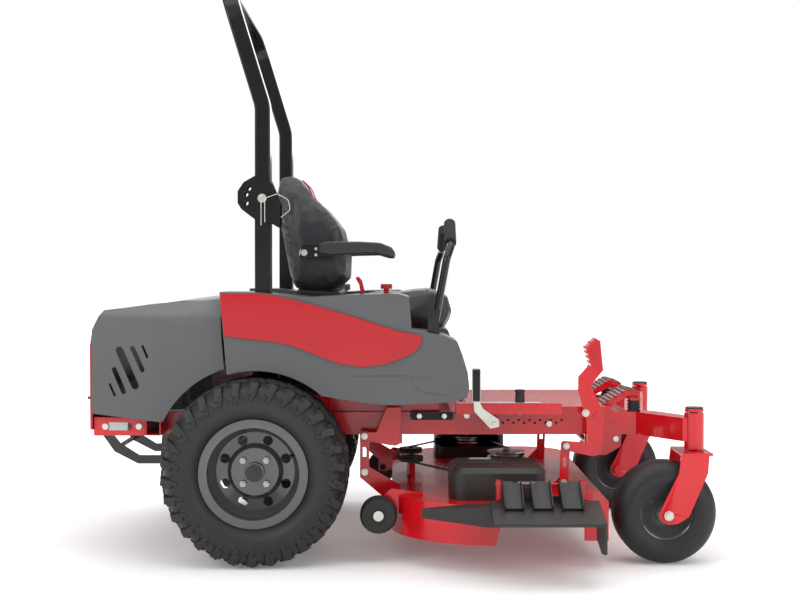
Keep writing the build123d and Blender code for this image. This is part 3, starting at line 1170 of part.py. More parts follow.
# ---- The whole machine ----
def parts():
    """Every node's name with its solids."""
    frame = {
        "main_frame": [main_frame()],
        "rear_bumper": [rear_bumper()],
        "rear_guard": rear_guard(),
        "floor_pan": [floor_pan()],
        "footrests": both([footrest()]) + [nose_bar()],
        "rubber_mounts": rubber_mounts(),
        "height_channel": [height_channel()],
        "frame_bolts": frame_bolts(),
        "rops_posts": both([rops_post()]),
        "rops_pins": both(rops_pin()),
        "pod_right": pod(-1),
        "pod_left": pod(1),
        "red_panels": both([red_panel()]),
        "rear_hood": [rear_hood()],
        "rear_panel": [rear_panel()],
        "seat_platform": [seat_platform()],
        "engine_block": engine_block(),
        "engine_shroud": engine_shroud(),
        "transaxles": both([transaxle()]),
    }
    moving = {
        "clutch_pulley": [clutch_pulley()],
        "rops_hoop": [rops_hoop()],
        "seat_frame": [seat_frame()],
        "seat_cushion": seat_cushion(),
        "seat_back": seat_back() + both([armrest_pin()]),
        "throttle_lever": [throttle_lever()],
        "pto_knob": [pto_knob()],
        "height_pin": height_pin(),
        "lock_lever": lock_lever(),
        "deck_shell": [deck_shell(), chute_rod()],
        "belt_covers": belt_covers(),
        "deck_belt": [deck_belt()] + idlers(),
        "hanger_straps": both([strap(*FRONT_STRAP), strap(*REAR_STRAP)]),
        "deflector": [chute_deflector()],
        "lift_pedal": [lift_pedal()],
        "rear_cranks": [rear_cranks()],
    }
    for name in SPINDLE_PLACES:
        moving["blade_" + name] = [spindle(name)]
    for name, sign in (("right", -1), ("left", 1)):
        moving["drive_tyre_" + name] = [tyre_ring(WHEEL_R, WHEEL_WIDTH, TYRE_WALL, RIM_SEAT_R, 0,
                                                  sign * WHEEL_Y,
                                                  WHEEL_R, 70)]
        moving["drive_rim_" + name] = [drive_rim(sign)]
        moving["wheel_hub_" + name] = wheel_hub(sign)
        moving["caster_fork_" + name] = caster_fork(sign)
        moving["caster_rim_" + name] = [caster_rim(sign)]
        moving["caster_tyre_" + name] = [caster_tyre(sign)]
        moving["roller_" + name] = [roller(sign)]
        pair = {"armrest_": [armrest()], "lever_base_": lever_base() + lever_bolts(),
                "lever_tube_": [lever_tube()], "lever_grip_": [lever_grip()]}
        for stem, shapes in pair.items():
            moving[stem + name] = shapes if sign < 0 else [other_side(s) for s in shapes]
    return {**frame, **moving}


def main():
    """Write every node, moved to the common origin."""
    os.makedirs("parts", exist_ok=True)
    for name, shapes in parts().items():
        solids = [s for shape in shapes for s in shape.solids()]
        placed = [Pos(-ORIGIN_X, -ORIGIN_Y, 0) * s for s in solids]
        export_step(placed[0] if len(placed) == 1 else Compound(placed), "parts/" + name + ".step")


if __name__ == "__main__":
    main()
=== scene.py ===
# %% [markdown]
# # A zero turn mower, finished around its CAD frame
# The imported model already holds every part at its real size. This lesson adds what makes the machine
# look real: rounded edges on pressed steel and mouldings, tyre tread, stitched vinyl, and a finish for
# each surface. The frame is loaded first, because every piece takes its place from it.

# %% Load the frame
import json
import math

import bmesh
import bpy
from mathutils import Matrix, Vector
from mathutils.bvhtree import BVHTree


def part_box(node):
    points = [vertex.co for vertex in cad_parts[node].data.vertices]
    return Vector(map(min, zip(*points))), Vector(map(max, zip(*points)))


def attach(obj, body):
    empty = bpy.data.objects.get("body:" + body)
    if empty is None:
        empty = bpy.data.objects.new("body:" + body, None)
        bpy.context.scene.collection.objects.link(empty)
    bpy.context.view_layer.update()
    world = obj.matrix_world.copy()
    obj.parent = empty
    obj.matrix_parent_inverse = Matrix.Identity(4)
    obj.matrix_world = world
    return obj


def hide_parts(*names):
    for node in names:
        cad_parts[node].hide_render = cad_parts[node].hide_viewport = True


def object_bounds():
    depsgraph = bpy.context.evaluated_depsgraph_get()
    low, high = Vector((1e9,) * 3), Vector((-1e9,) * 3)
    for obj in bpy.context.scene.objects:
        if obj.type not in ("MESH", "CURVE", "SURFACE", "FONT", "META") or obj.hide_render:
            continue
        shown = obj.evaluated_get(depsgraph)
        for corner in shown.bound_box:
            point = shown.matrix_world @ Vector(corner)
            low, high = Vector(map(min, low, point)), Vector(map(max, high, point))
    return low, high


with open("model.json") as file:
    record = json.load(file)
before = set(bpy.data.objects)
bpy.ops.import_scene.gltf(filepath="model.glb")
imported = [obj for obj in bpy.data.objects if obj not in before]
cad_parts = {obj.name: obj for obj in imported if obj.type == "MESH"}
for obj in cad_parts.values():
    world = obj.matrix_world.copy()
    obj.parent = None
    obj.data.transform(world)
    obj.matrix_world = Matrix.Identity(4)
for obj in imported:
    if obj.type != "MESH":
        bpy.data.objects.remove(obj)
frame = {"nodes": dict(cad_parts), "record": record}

MM = 0.001
SIDES = (("right", -1), ("left", 1))
cad_box = [[float(v) for v in corner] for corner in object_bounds()]
record = frame["record"]
bodies = record["behaviour"]["bodies"]
body_of_node = {node: body for body, nodes in bodies.items() for node in nodes}
slot_of_node = {}
for part in record["subparts"]:
    slot_of_node[part["node"]] = part["material_slot"]
print("frame box", cad_box, "nodes", len(body_of_node))


def centre(node):
    """The middle of a CAD node's box."""
    low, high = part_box(node)
    return (low + high) / 2


# %% [markdown]
# ## Shader maths
# A finish is a small graph of nodes. Written by hand it is long, so one class wraps a socket and lets
# ordinary Python operators add the Math nodes, and one method adds every other kind of node.

# %% The wire and the finish
class Wire:
    """One output socket of a node, which ordinary arithmetic can use."""

    def __init__(self, finish, socket):
        self.finish = finish
        self.socket = socket

    def maths(self, operation, first, second):
        """Join two values or wires with a Math node."""
        return self.finish.node("ShaderNodeMath", {"operation": operation}, {0: first, 1: second})

    def __add__(self, other):
        return self.maths("ADD", self, other)

    def __radd__(self, other):
        return self.maths("ADD", other, self)

    def __sub__(self, other):
        return self.maths("SUBTRACT", self, other)

    def __rsub__(self, other):
        return self.maths("SUBTRACT", other, self)

    def __mul__(self, other):
        return self.maths("MULTIPLY", self, other)

    def __rmul__(self, other):
        return self.maths("MULTIPLY", other, self)


class Finish:
    """A material built on one Principled shader."""

    def __init__(self, name, **fixed):
        self.material = bpy.data.materials.new(name)
        self.material.use_nodes = True
        self.tree = self.material.node_tree
        self.shader = self.tree.nodes["Principled BSDF"]
        for socket, value in fixed.items():
            self.shader.inputs[socket.replace("_", " ")].default_value = value

    def node(self, kind, settings=None, inputs=None, output=0):
        """Add a node, set its settings, then fill its sockets with values or wires."""
        made = self.tree.nodes.new(kind)
        for key, value in (settings or {}).items():
            if key == "stops":
                ramp = made.color_ramp.elements
                while len(ramp) < len(value):
                    ramp.new(0.5)
                for element, (place, tone) in zip(ramp, value):
                    element.position = place
                    element.color = (tone, tone, tone, 1)
            else:
                setattr(made, key, value)
        for key, value in (inputs or {}).items():
            if isinstance(value, Wire):
                self.tree.links.new(value.socket, made.inputs[key])
            else:
                made.inputs[key].default_value = value
        return Wire(self, made.outputs[output])

    def place(self):
        """Where a point is on the object."""
        return self.node("ShaderNodeTexCoord", output="Object")

    def noise(self, scale, detail=3.0, rough=0.5):
        """Soft random values."""
        sockets = {"Vector": self.place(), "Scale": scale, "Detail": detail, "Roughness": rough}
        return self.node("ShaderNodeTexNoise", None, sockets, "Fac")

    def cells(self, scale, feature="F1"):
        """Distance within random cells."""
        sockets = {"Vector": self.place(), "Scale": scale}
        return self.node("ShaderNodeTexVoronoi", {"feature": feature}, sockets, "Distance")

    def ramp(self, value, *stops):
        """Remap a value through grey stops."""
        return self.node("ShaderNodeValToRGB", {"stops": stops}, {"Fac": value})

    def feed(self, socket, wire):
        """Connect a wire to the shader."""
        self.tree.links.new(wire.socket, self.shader.inputs[socket])
        return self

    def tones(self, dark, light, fac):
        """Base colour that wanders between two colours."""
        sockets = {0: fac, 6: (*dark, 1), 7: (*light, 1)}
        mix = self.node("ShaderNodeMix", {"data_type": "RGBA"}, sockets, 2)
        return self.feed("Base Color", mix)

    def bump(self, height, strength, distance):
        """Small relief in the surface."""
        sockets = {"Height": height, "Strength": strength, "Distance": distance}
        return self.feed("Normal", self.node("ShaderNodeBump", None, sockets, "Normal"))


# %% [markdown]
# ## The finishes
# Powder coat is smooth with a faint orange peel and a clear gloss. Mouldings have a fine spark-eroded
# grain. Tyre rubber is dull, vinyl has creased cells, and zinc plate is a soft metal with cloudy
# roughness.

# %% Paints
def paint(name, dark, light, roughness, coat, peel=260.0):
    """A sprayed coat: two close tones, an orange-peel ripple and a clear gloss."""
    made = Finish(name, Coat_Weight=coat, Coat_Roughness=0.07, IOR=1.42)
    cloud = made.noise(3.0, 2.0)
    made.tones(dark, light, cloud)
    made.feed("Roughness", made.noise(35.0, 4.0) * 0.12 + (roughness - 0.06))
    made.bump(made.noise(peel, 2.0), 0.12, 0.0006)
    return made.material


red_paint = paint("red_paint", (0.52, 0.002, 0.007), (0.60, 0.004, 0.010), 0.25, 0.3)
red_plastic = paint("red_plastic", (0.36, 0.0015, 0.006), (0.41, 0.003, 0.009), 0.24, 0.3, 120.0)
black_paint = paint("black_paint", (0.004, 0.004, 0.005), (0.007, 0.007, 0.008), 0.22, 0.2)
rim_paint = paint("rim_paint", (0.040, 0.040, 0.044), (0.058, 0.058, 0.062), 0.24, 0.8)


# %% Mouldings, rubber and foam
def grained(name, dark, light, roughness, grain, depth):
    """A moulded surface with a fine even grain."""
    made = Finish(name, IOR=1.46)
    made.tones(dark, light, made.noise(6.0, 3.0))
    made.feed("Roughness", made.noise(90.0, 3.0) * 0.14 + (roughness - 0.07))
    made.bump(made.noise(grain, 4.0, 0.65), 0.25, depth)
    return made.material


grey_plastic = grained("grey_plastic", (0.076, 0.077, 0.081), (0.094, 0.095, 0.100), 0.38, 700.0, 0.0003)
black_plastic = grained("black_plastic", (0.016, 0.014, 0.013), (0.026, 0.024, 0.023), 0.46, 600.0, 0.0004)
shroud_plastic = grained("shroud_plastic", (0.012, 0.012, 0.012), (0.020, 0.020, 0.021), 0.40, 500.0, 0.0003)
black_rubber = grained("black_rubber", (0.010, 0.010, 0.010), (0.022, 0.021, 0.021), 0.66, 420.0, 0.0004)
tyre_rubber = grained("tyre_rubber", (0.008, 0.008, 0.009), (0.017, 0.017, 0.018), 0.52, 320.0, 0.0004)
foam = grained("foam", (0.010, 0.010, 0.011), (0.024, 0.024, 0.026), 0.85, 900.0, 0.0006)
label_grey = grained("label_grey", (0.42, 0.42, 0.42), (0.50, 0.50, 0.50), 0.45, 300.0, 0.0001)
tread_grey = grained("tread_grey", (0.060, 0.054, 0.050), (0.095, 0.086, 0.080), 0.62, 350.0, 0.0005)


# %% Vinyl
def stitched_vinyl(name, dark, light):
    """Soft vinyl: creased cells, a waxy sheen and slow changes of gloss."""
    made = Finish(name, IOR=1.5, Sheen_Weight=0.08, Sheen_Roughness=0.4)
    made.tones(dark, light, made.noise(9.0, 3.0))
    made.feed("Roughness", made.noise(22.0, 4.0) * 0.16 + 0.34)
    creases = made.cells(520.0) * 0.7 + made.noise(1100.0, 2.0) * 0.3
    made.bump(creases, 0.30, 0.0006)
    return made.material


vinyl = stitched_vinyl("vinyl", (0.012, 0.013, 0.016), (0.022, 0.023, 0.028))
grey_vinyl = stitched_vinyl("grey_vinyl", (0.20, 0.20, 0.21), (0.27, 0.27, 0.28))


# %% Metals
def metal(name, dark, light, roughness, clouds=18.0):
    """Bare or plated metal with cloudy roughness."""
    made = Finish(name, Metallic=1.0)
    made.tones(dark, light, made.noise(clouds, 4.0))
    made.feed("Roughness", made.noise(60.0, 4.0) * 0.2 + (roughness - 0.1))
    made.bump(made.noise(400.0, 3.0), 0.10, 0.0002)
    return made.material


zinc = metal("zinc", (0.50, 0.49, 0.45), (0.68, 0.67, 0.62), 0.34)
steel = metal("steel", (0.30, 0.30, 0.31), (0.46, 0.46, 0.47), 0.38)
cast_metal = metal("cast_metal", (0.36, 0.36, 0.37), (0.46, 0.46, 0.47), 0.52, 60.0)

finish_of_slot = {
    "red_paint": red_paint, "red_plastic": red_plastic, "black_paint": black_paint, "rim_paint": rim_paint,
    "grey_plastic": grey_plastic, "black_plastic": black_plastic, "black_rubber": black_rubber,
    "tyre_rubber": tyre_rubber, "foam": foam, "vinyl": vinyl, "zinc": zinc, "steel": steel,
    "cast_metal": cast_metal,
}
for node in body_of_node:
    slots = frame["nodes"][node].data.materials
    slots.clear()
    slots.append(finish_of_slot[slot_of_node[node]])
print("finishes", len(finish_of_slot))

# %% [markdown]
# ## Helpers for pieces
# A finished piece keeps its place in its mesh and sits at the origin. One helper turns a bmesh into a
# piece that rides on a body; another copies a CAD node, joins its loose triangles and rounds its edges
# with a Bevel.

# %% Piece helpers
def piece(name, shape, body, material, smooth=True, recalc=False):
    """Turn a bmesh into a finished object that rides on a body."""
    if recalc:
        bmesh.ops.remove_doubles(shape, verts=shape.verts, dist=1e-6)
        bmesh.ops.recalc_face_normals(shape, faces=shape.faces)
    mesh = bpy.data.meshes.new(name)
    shape.to_mesh(mesh)
    shape.free()
    mesh.materials.append(material)
    if smooth:
        mesh.shade_smooth()
    made = bpy.data.objects.new(name, mesh)
    bpy.context.scene.collection.objects.link(made)
    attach(made, body)
    return made


def sharpen(made, angle=35.0):
    """Keep edges sharper than an angle crisp."""
    shape = bmesh.new()
    shape.from_mesh(made.data)
    limit = math.radians(angle)
    for edge in shape.edges:
        edge.smooth = len(edge.link_faces) == 2 and edge.calc_face_angle(0.0) < limit
    shape.to_mesh(made.data)
    shape.free()


FLOWING = ("rear_hood", "pod_right", "pod_left", "red_panels")


def rounded(node, width, segments=2, angle=32.0):
    """A copy of a CAD node with its triangles joined and its edges rounded."""
    shape = bmesh.new()
    shape.from_mesh(frame["nodes"][node].data)
    bmesh.ops.remove_doubles(shape, verts=shape.verts, dist=1e-5)
    if node in FLOWING:
        bmesh.ops.dissolve_limit(shape, angle_limit=math.radians(1.0), verts=shape.verts, edges=shape.edges)
    slot = slot_of_node[node]
    made = piece(node + "_finished", shape, body_of_node[node], finish_of_slot[slot])
    bevel = made.modifiers.new("edge_round", "BEVEL")
    bevel.width = width
    bevel.segments = segments
    bevel.limit_method = "ANGLE"
    bevel.angle_limit = math.radians(angle)
    bevel.use_clamp_overlap = True
    evened = made.modifiers.new("flat_faces", "WEIGHTED_NORMAL")
    evened.weight = 100
    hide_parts(node)
    return made


EDGES = {
    "pod_right": 7, "pod_left": 7, "rear_hood": 9, "red_panels": 4, "rear_panel": 3, "main_frame": 3.2,
    "rear_bumper": 3.5, "rear_guard": 2, "floor_pan": 3, "footrests": 2.5, "height_channel": 1.2,
    "seat_platform": 2, "engine_shroud": 6, "rops_posts": 3, "rops_hoop": 1.5, "deck_shell": 2.2,
    "belt_covers": 5, "deflector": 2, "lift_pedal": 1.6, "rear_cranks": 1.6, "hanger_straps": 1.2,
    "caster_fork_right": 1.8, "caster_fork_left": 1.8,
    "lever_base_right": 1.2, "lever_base_left": 1.2, "lock_lever": 1.2, "transaxles": 3, "engine_block": 2.5,
    "rubber_mounts": 2, "throttle_lever": 1.5, "pto_knob": 2.5, "seat_frame": 1,
}
finished = {}
for node, width in EDGES.items():
    finished[node] = rounded(node, width * MM)
print("rounded nodes", len(finished))

# %% [markdown]
# ## Camera, floor and light
# The view is from the machine's right, five metres away, just below the driver's eye. A large soft
# light overhead, two at the sides and one behind make the long even highlights of a studio.

# %% Stage
LENS_MM = 64.0
SENSOR_MM = 36.0
CAMERA_PLACE = Vector((0.0525, -5.0415, 0.945))
CAMERA_DROP = math.radians(1.19)


def area_light(name, place, aim, size, power):
    """A soft rectangular light that looks at a point."""
    data = bpy.data.lights.new(name, "AREA")
    data.shape = "RECTANGLE"
    data.size, data.size_y = size
    data.energy = power
    light = bpy.data.objects.new(name, data)
    light.location = place
    light.rotation_euler = (Vector(aim) - Vector(place)).to_track_quat("-Z", "Y").to_euler()
    bpy.context.scene.collection.objects.link(light)


camera = bpy.data.objects.new("camera", bpy.data.cameras.new("camera"))
camera.data.lens = LENS_MM
camera.data.sensor_width = SENSOR_MM
camera.location = CAMERA_PLACE
camera.rotation_euler = (math.radians(90) - CAMERA_DROP, 0, 0)
bpy.context.scene.collection.objects.link(camera)
bpy.context.scene.camera = camera

floor_shape = bmesh.new()
bmesh.ops.create_grid(floor_shape, x_segments=1, y_segments=1, size=40.0)
floor_mesh = bpy.data.meshes.new("floor")
floor_shape.to_mesh(floor_mesh)
floor_shape.free()
floor_finish = Finish("floor", Roughness=0.9)
floor_finish.tones((0.86, 0.86, 0.86), (0.90, 0.90, 0.90), floor_finish.noise(2.0))
away = floor_finish.node("ShaderNodeVectorMath", {"operation": "LENGTH"}, {0: floor_finish.place()}, "Value")
glow = floor_finish.ramp(away * 0.1, (0.10, 0.14), (0.16, 0.40), (0.30, 1.0))
floor_finish.feed("Emission Color", glow)
floor_finish.shader.inputs["Emission Strength"].default_value = 0.9
floor_mesh.materials.append(floor_finish.material)
floor = bpy.data.objects.new("floor", floor_mesh)
bpy.context.scene.collection.objects.link(floor)

area_light("sky", (0.0, -0.5, 5.2), (0, 0, 0.6), (6.5, 6.0), 170)
area_light("key", (-3.4, -4.2, 3.0), (0, 0, 0.7), (3.2, 2.4), 105)
area_light("fill", (4.0, -3.6, 2.2), (0, 0, 0.6), (3.0, 2.4), 70)
area_light("back", (0.0, 5.0, 2.8), (0, 0, 0.8), (5.0, 2.2), 70)

world = bpy.data.worlds.new("studio")
world.use_nodes = True
air = world.node_tree
shell_light = air.nodes["Background"]
seen = air.nodes.new("ShaderNodeLightPath")
height = air.nodes.new("ShaderNodeSeparateXYZ")
air.links.new(air.nodes.new("ShaderNodeTexCoord").outputs["Generated"], height.inputs[0])
dome = air.nodes.new("ShaderNodeMapRange")
for socket, value in (("From Min", -0.05), ("From Max", 0.60), ("To Min", 0.14), ("To Max", 0.62)):
    dome.inputs[socket].default_value = value
air.links.new(height.outputs["Z"], dome.inputs["Value"])
strength = air.nodes.new("ShaderNodeMix")
strength.data_type = "FLOAT"
strength.inputs[3].default_value = 1.0
air.links.new(dome.outputs["Result"], strength.inputs[2])
air.links.new(seen.outputs["Is Camera Ray"], strength.inputs[0])
air.links.new(strength.outputs[0], shell_light.inputs["Strength"])
shell_light.inputs["Color"].default_value = (1.0, 1.0, 1.0, 1)
bpy.context.scene.world = world
bpy.context.scene.view_settings.view_transform = "Standard"
print("camera at", tuple(camera.location))

# %% [markdown]
# ## Drive tyres
# A real tread is a ring of separate rubber blocks on a smooth carcass. The carcass is one profile spun
# about the axle. Each pitch of the tread has two centre blocks, a shoulder block, and side blocks that run
# down the wall. The pitches repeat round the tyre, offset by half a pitch on the two halves. Every block
# is a bevelled box turned into its place.

# %% Tread
RING_STEPS = 96
TREAD_PITCHES = 30
LUG_HEIGHT = 0.011


def spun_ring(profile, middle, steps):
    """A closed profile of (radius, offset) points spun about a cross axle."""
    shape = bmesh.new()
    points = [shape.verts.new((middle.x + r, middle.y + y, middle.z)) for r, y in profile]
    edges = [shape.edges.new((a, b)) for a, b in zip(points, points[1:] + points[:1])]
    bmesh.ops.spin(shape, geom=points + edges, cent=middle, axis=(0, 1, 0), angle=math.tau, steps=steps,
                   use_merge=True, use_duplicate=False)
    bmesh.ops.remove_doubles(shape, verts=shape.verts, dist=1e-5)
    bmesh.ops.recalc_face_normals(shape, faces=shape.faces)
    return shape


def lug(shape, middle, radius, size, place, twist, tilt):
    """One bevelled block on a tyre: size along, across and out; place as an angle and an offset."""
    angle, across = place
    made = bmesh.ops.create_cube(shape, size=1.0)["verts"]
    bmesh.ops.scale(shape, vec=size, verts=made)
    top = [v for v in made if v.co.z > 0]
    bmesh.ops.scale(shape, vec=(0.82, 0.86, 1.0), verts=top)
    edges = list({e for v in made for e in v.link_edges if v in top})
    new = bmesh.ops.bevel(shape, geom=edges, offset=0.0022, offset_type="OFFSET", segments=1, profile=0.5,
                          affect="EDGES", material=-1, clamp_overlap=True)["verts"]
    made = list({v for v in made if v.is_valid} | {v for v in new if v.is_valid})
    seat = Matrix.Translation(middle) @ Matrix.Rotation(angle, 4, "Y")
    seat = seat @ Matrix.Translation((0, across, radius)) @ Matrix.Rotation(tilt, 4, "X")
    seat = seat @ Matrix.Rotation(twist, 4, "Z")
    bmesh.ops.transform(shape, matrix=seat, verts=made)


def drive_tyre(name):
    """The whole drive tyre: carcass and tread."""
    node = "drive_tyre_" + name
    low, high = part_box(node)
    middle = (low + high) / 2
    radius, half = (high.z - low.z) / 2, (high.y - low.y) / 2
    body_r = radius - LUG_HEIGHT
    rim_low, rim_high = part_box("drive_rim_" + name)
    seat_r, bead = 0.152, (rim_high.y - rim_low.y) / 2 - 0.005
    side = [(seat_r, bead), (0.175, bead), (0.180, bead + 0.008), (0.194, half - 0.010),
            (0.215, half - 0.003), (0.238, half - 0.002), (0.258, half - 0.006), (0.274, half - 0.020),
            (body_r - 0.003, half - 0.042), (body_r, half - 0.080)]
    profile = side + [(body_r, 0.0)] + [(r, -y) for r, y in reversed(side)]
    shape = spun_ring(profile, middle, RING_STEPS)
    step = math.tau / TREAD_PITCHES
    for i in range(TREAD_PITCHES):
        for half_side in (-1, 1):
            shift = 0.0 if half_side < 0 else step / 2
            angle = i * step + shift
            wide = 0.046 if i % 2 else 0.038
            lug(shape, middle, body_r + 0.004, (wide, 0.040, 0.014),
                (angle, half_side * 0.024), 0.5 * half_side, 0)
            lug(shape, middle, body_r + 0.0035, (wide * 0.86, 0.036, 0.014),
                (angle + step * 0.34, half_side * 0.066), -0.45 * half_side, -0.06 * half_side)
            lug(shape, middle, body_r - 0.003, (0.036, 0.042, 0.016),
                (angle + step * 0.05, half_side * 0.104), 0.25 * half_side, -0.34 * half_side)
            lug(shape, middle, 0.270, (0.031, 0.052, 0.020),
                (angle + step * 0.05, half_side * (half - 0.019)), 0.30 * half_side, -1.05 * half_side)
            lug(shape, middle, 0.246 if i % 2 else 0.252, (0.015, 0.040, 0.014),
                (angle + step * 0.05, half_side * (half - 0.006)), 0.45 * half_side, -1.45 * half_side)
            lug(shape, middle, 0.250, (0.008, 0.034, 0.010),
                (angle + step * 0.45, half_side * (half - 0.006)), -0.35 * half_side, -1.45 * half_side)
    made = piece(node + "_tread", shape, body_of_node[node], tyre_rubber)
    sharpen(made, 34)
    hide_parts(node)
    return made


for name, _ in SIDES:
    tyre = drive_tyre(name)
    print(tyre.name, "faces", len(tyre.data.polygons))

# %% [markdown]
# ## Front tyres and rims
# The front tyres are smooth with four fine grooves, and their rims are a plain pressed cup. A spun
# profile gives both exactly, and a short valve stem on each side shows which way the wheel has turned.

# %% Front wheels
GROOVES = (-0.030, -0.010, 0.010, 0.030)


def caster_tyre(name):
    """A smooth ribbed tyre."""
    node = "caster_tyre_" + name
    low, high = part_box(node)
    middle = (low + high) / 2
    radius, half = (high.z - low.z) / 2, (high.y - low.y) / 2
    seat_r, bead = 0.086, half - 0.012
    right = [(seat_r, bead), (0.094, bead + 0.002), (0.108, half - 0.003), (0.124, half - 0.001),
             (0.138, half - 0.006), (0.150, half - 0.016), (radius - 0.006, half - 0.028),
             (radius - 0.002, half - 0.040)]
    crown = []
    for y in reversed(GROOVES):
        crown += [(radius - 0.0006, y + 0.0022), (radius - 0.004, y + 0.0012), (radius - 0.004, y - 0.0012),
                  (radius - 0.0006, y - 0.0022)]
    profile = right + crown + [(r, -y) for r, y in reversed(right)]
    made = piece(node + "_ribbed", spun_ring(profile, middle, RING_STEPS), body_of_node[node], tyre_rubber)
    sharpen(made, 40)
    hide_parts(node)


def caster_rim(name):
    """A pressed cup rim with its bearing hub, and a valve stem on each side."""
    node = "caster_rim_" + name
    middle = centre(node)
    low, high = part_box(node)
    hub = (high.y - low.y) / 2
    half = [(0.0096, hub), (0.020, hub), (0.021, hub - 0.003), (0.030, hub - 0.006), (0.031, hub - 0.030),
            (0.036, hub - 0.042), (0.046, hub - 0.040), (0.060, hub - 0.034), (0.072, hub - 0.024),
            (0.078, hub - 0.018), (0.0845, hub - 0.015), (0.0855, hub - 0.0125), (0.0858, hub - 0.016)]
    profile = half + [(r, -y) for r, y in reversed(half)]
    made = piece(node + "_pressed", spun_ring(profile, middle, 72), body_of_node[node], rim_paint)
    sharpen(made, 40)
    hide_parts(node)
    for side in (-1, 1):
        stem = bmesh.new()
        bmesh.ops.create_cone(stem, cap_ends=True, segments=12, radius1=0.0042, radius2=0.0034, depth=0.020,
                              matrix=Matrix.Translation(middle + Vector((0.056, side * (hub - 0.024), 0.030)))
                              @ Matrix.Rotation(math.radians(90) * -side, 4, "X"))
        valve = node + ("_valve_a" if side < 0 else "_valve_b")
        piece(valve, stem, body_of_node[node], black_rubber)


for name, _ in SIDES:
    caster_tyre(name)
    caster_rim(name)
print("front wheels done")


# %% [markdown]
# ## Drive rims
# The rim is a deep pressed dish with eight round holes and a raised middle. The CAD rim is already
# right, so it only needs rounded edges. A valve stem and a black hub cap are added on the outside.

# %% Drive rims
for name, sign in SIDES:
    rounded("drive_rim_" + name, 0.0014, 2, 30)
    middle = centre("drive_rim_" + name)
    face = middle.y + sign * 0.066
    stem = bmesh.new()
    bmesh.ops.create_cone(stem, cap_ends=True, segments=14, radius1=0.0055, radius2=0.0042, depth=0.036,
                          matrix=Matrix.Translation((middle.x + 0.118, face + sign * 0.012, middle.z + 0.052))
                          @ Matrix.Rotation(math.radians(-90) * sign, 4, "X"))
    piece(f"drive_rim_{name}_valve", stem, body_of_node["drive_rim_" + name], black_rubber)
    cap = bmesh.new()
    low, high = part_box("wheel_hub_" + name)
    outer = low.y if sign < 0 else high.y
    bmesh.ops.create_cone(cap, cap_ends=True, segments=48, radius1=0.0315, radius2=0.0275, depth=0.008,
                          matrix=Matrix.Translation((middle.x, outer - sign * 0.0035, middle.z))
                          @ Matrix.Rotation(math.radians(-90) * sign, 4, "X"))
    ends = [e for e in cap.edges if abs(e.verts[0].co.y - e.verts[1].co.y) < 1e-6]
    bmesh.ops.bevel(cap, geom=ends, offset=0.0018, segments=2, profile=0.5, affect="EDGES", material=-1)
    piece(f"wheel_hub_{name}_cap", cap, body_of_node["wheel_hub_" + name], black_plastic)
print("drive rims done")

# %% [markdown]
# ## The seat
# The seat is foam under stretched vinyl. Each pad starts as a slightly smaller closed form, is remeshed
# evenly, and is blown up by a short cloth simulation so that it crowns between its corners. The travel
# of every point is capped, and the seams and piping are laid on afterwards, because the remesh would
# erase them.

# %% Soft pads
VOXEL = 0.0055
SWELL_CAP = 0.012
SWELL_STEPS = 12


def profile_pad(outline, half_width, taper):
    """A closed form from a side outline: several widths across, narrower at the edges."""
    shape = bmesh.new()
    verts = [shape.verts.new((x, -half_width, z)) for x, z in outline]
    face = shape.faces.new(verts)
    grown = bmesh.ops.extrude_face_region(shape, geom=[face])["geom"]
    moved = [g for g in grown if isinstance(g, bmesh.types.BMVert)]
    bmesh.ops.translate(shape, vec=(0, 2 * half_width, 0), verts=moved)
    bmesh.ops.recalc_face_normals(shape, faces=shape.faces)
    cross = [e for e in shape.edges if abs(e.verts[0].co.y - e.verts[1].co.y) > half_width]
    bmesh.ops.subdivide_edges(shape, edges=cross, cuts=11, use_grid_fill=True)
    middle_x = sum(x for x, z in outline) / len(outline)
    middle_z = sum(z for x, z in outline) / len(outline)
    for vert in shape.verts:
        out = abs(vert.co.y) / half_width
        pull = 1.0 - taper * max(0.0, (out - 0.72) / 0.28) ** 2
        vert.co.x = middle_x + (vert.co.x - middle_x) * pull
        vert.co.z = middle_z + (vert.co.z - middle_z) * pull
    return shape


def swollen(made, pressure=4.0):
    """Remesh a pad evenly, blow it up gently and keep the result."""
    remesh = made.modifiers.new("even", "REMESH")
    remesh.mode = "VOXEL"
    remesh.voxel_size = VOXEL
    apply_all(made)
    smooth = made.modifiers.new("soften", "SMOOTH")
    smooth.factor, smooth.iterations = 0.5, 8
    apply_all(made)
    before = [v.co.copy() for v in made.data.vertices]
    cloth = made.modifiers.new("fill", "CLOTH")
    cloth.settings.use_pressure = True
    cloth.settings.uniform_pressure_force = pressure
    cloth.settings.effector_weights.gravity = 0.0
    cloth.settings.tension_stiffness = 25
    cloth.settings.compression_stiffness = 25
    cloth.settings.bending_stiffness = 4
    scene = bpy.context.scene
    for step in range(1, SWELL_STEPS + 1):
        scene.frame_set(step)
    apply_all(made)
    for vert, start in zip(made.data.vertices, before):
        travel = vert.co - start
        if travel.length > SWELL_CAP:
            vert.co = start + travel.normalized() * SWELL_CAP
    scene.frame_set(1)
    made.data.shade_smooth()
    return made


def apply_all(made):
    """Bake a piece's modifiers into its mesh."""
    graph = bpy.context.evaluated_depsgraph_get()
    baked = bpy.data.meshes.new_from_object(made.evaluated_get(graph))
    made.modifiers.clear()
    made.data = baked


def seam(name, points, radius, body, material):
    """A thin welt along a line of points, closed or open."""
    curve = bpy.data.curves.new(name, "CURVE")
    curve.dimensions = "3D"
    curve.bevel_depth = radius
    curve.bevel_resolution = 2
    line = curve.splines.new("NURBS")
    line.points.add(len(points) - 1)
    for knot, place in zip(line.points, points):
        knot.co = (*place, 1.0)
    line.order_u = 3
    line.use_endpoint_u = True
    curve.materials.append(material)
    made = bpy.data.objects.new(name, curve)
    bpy.context.scene.collection.objects.link(made)
    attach(made, body)
    return made


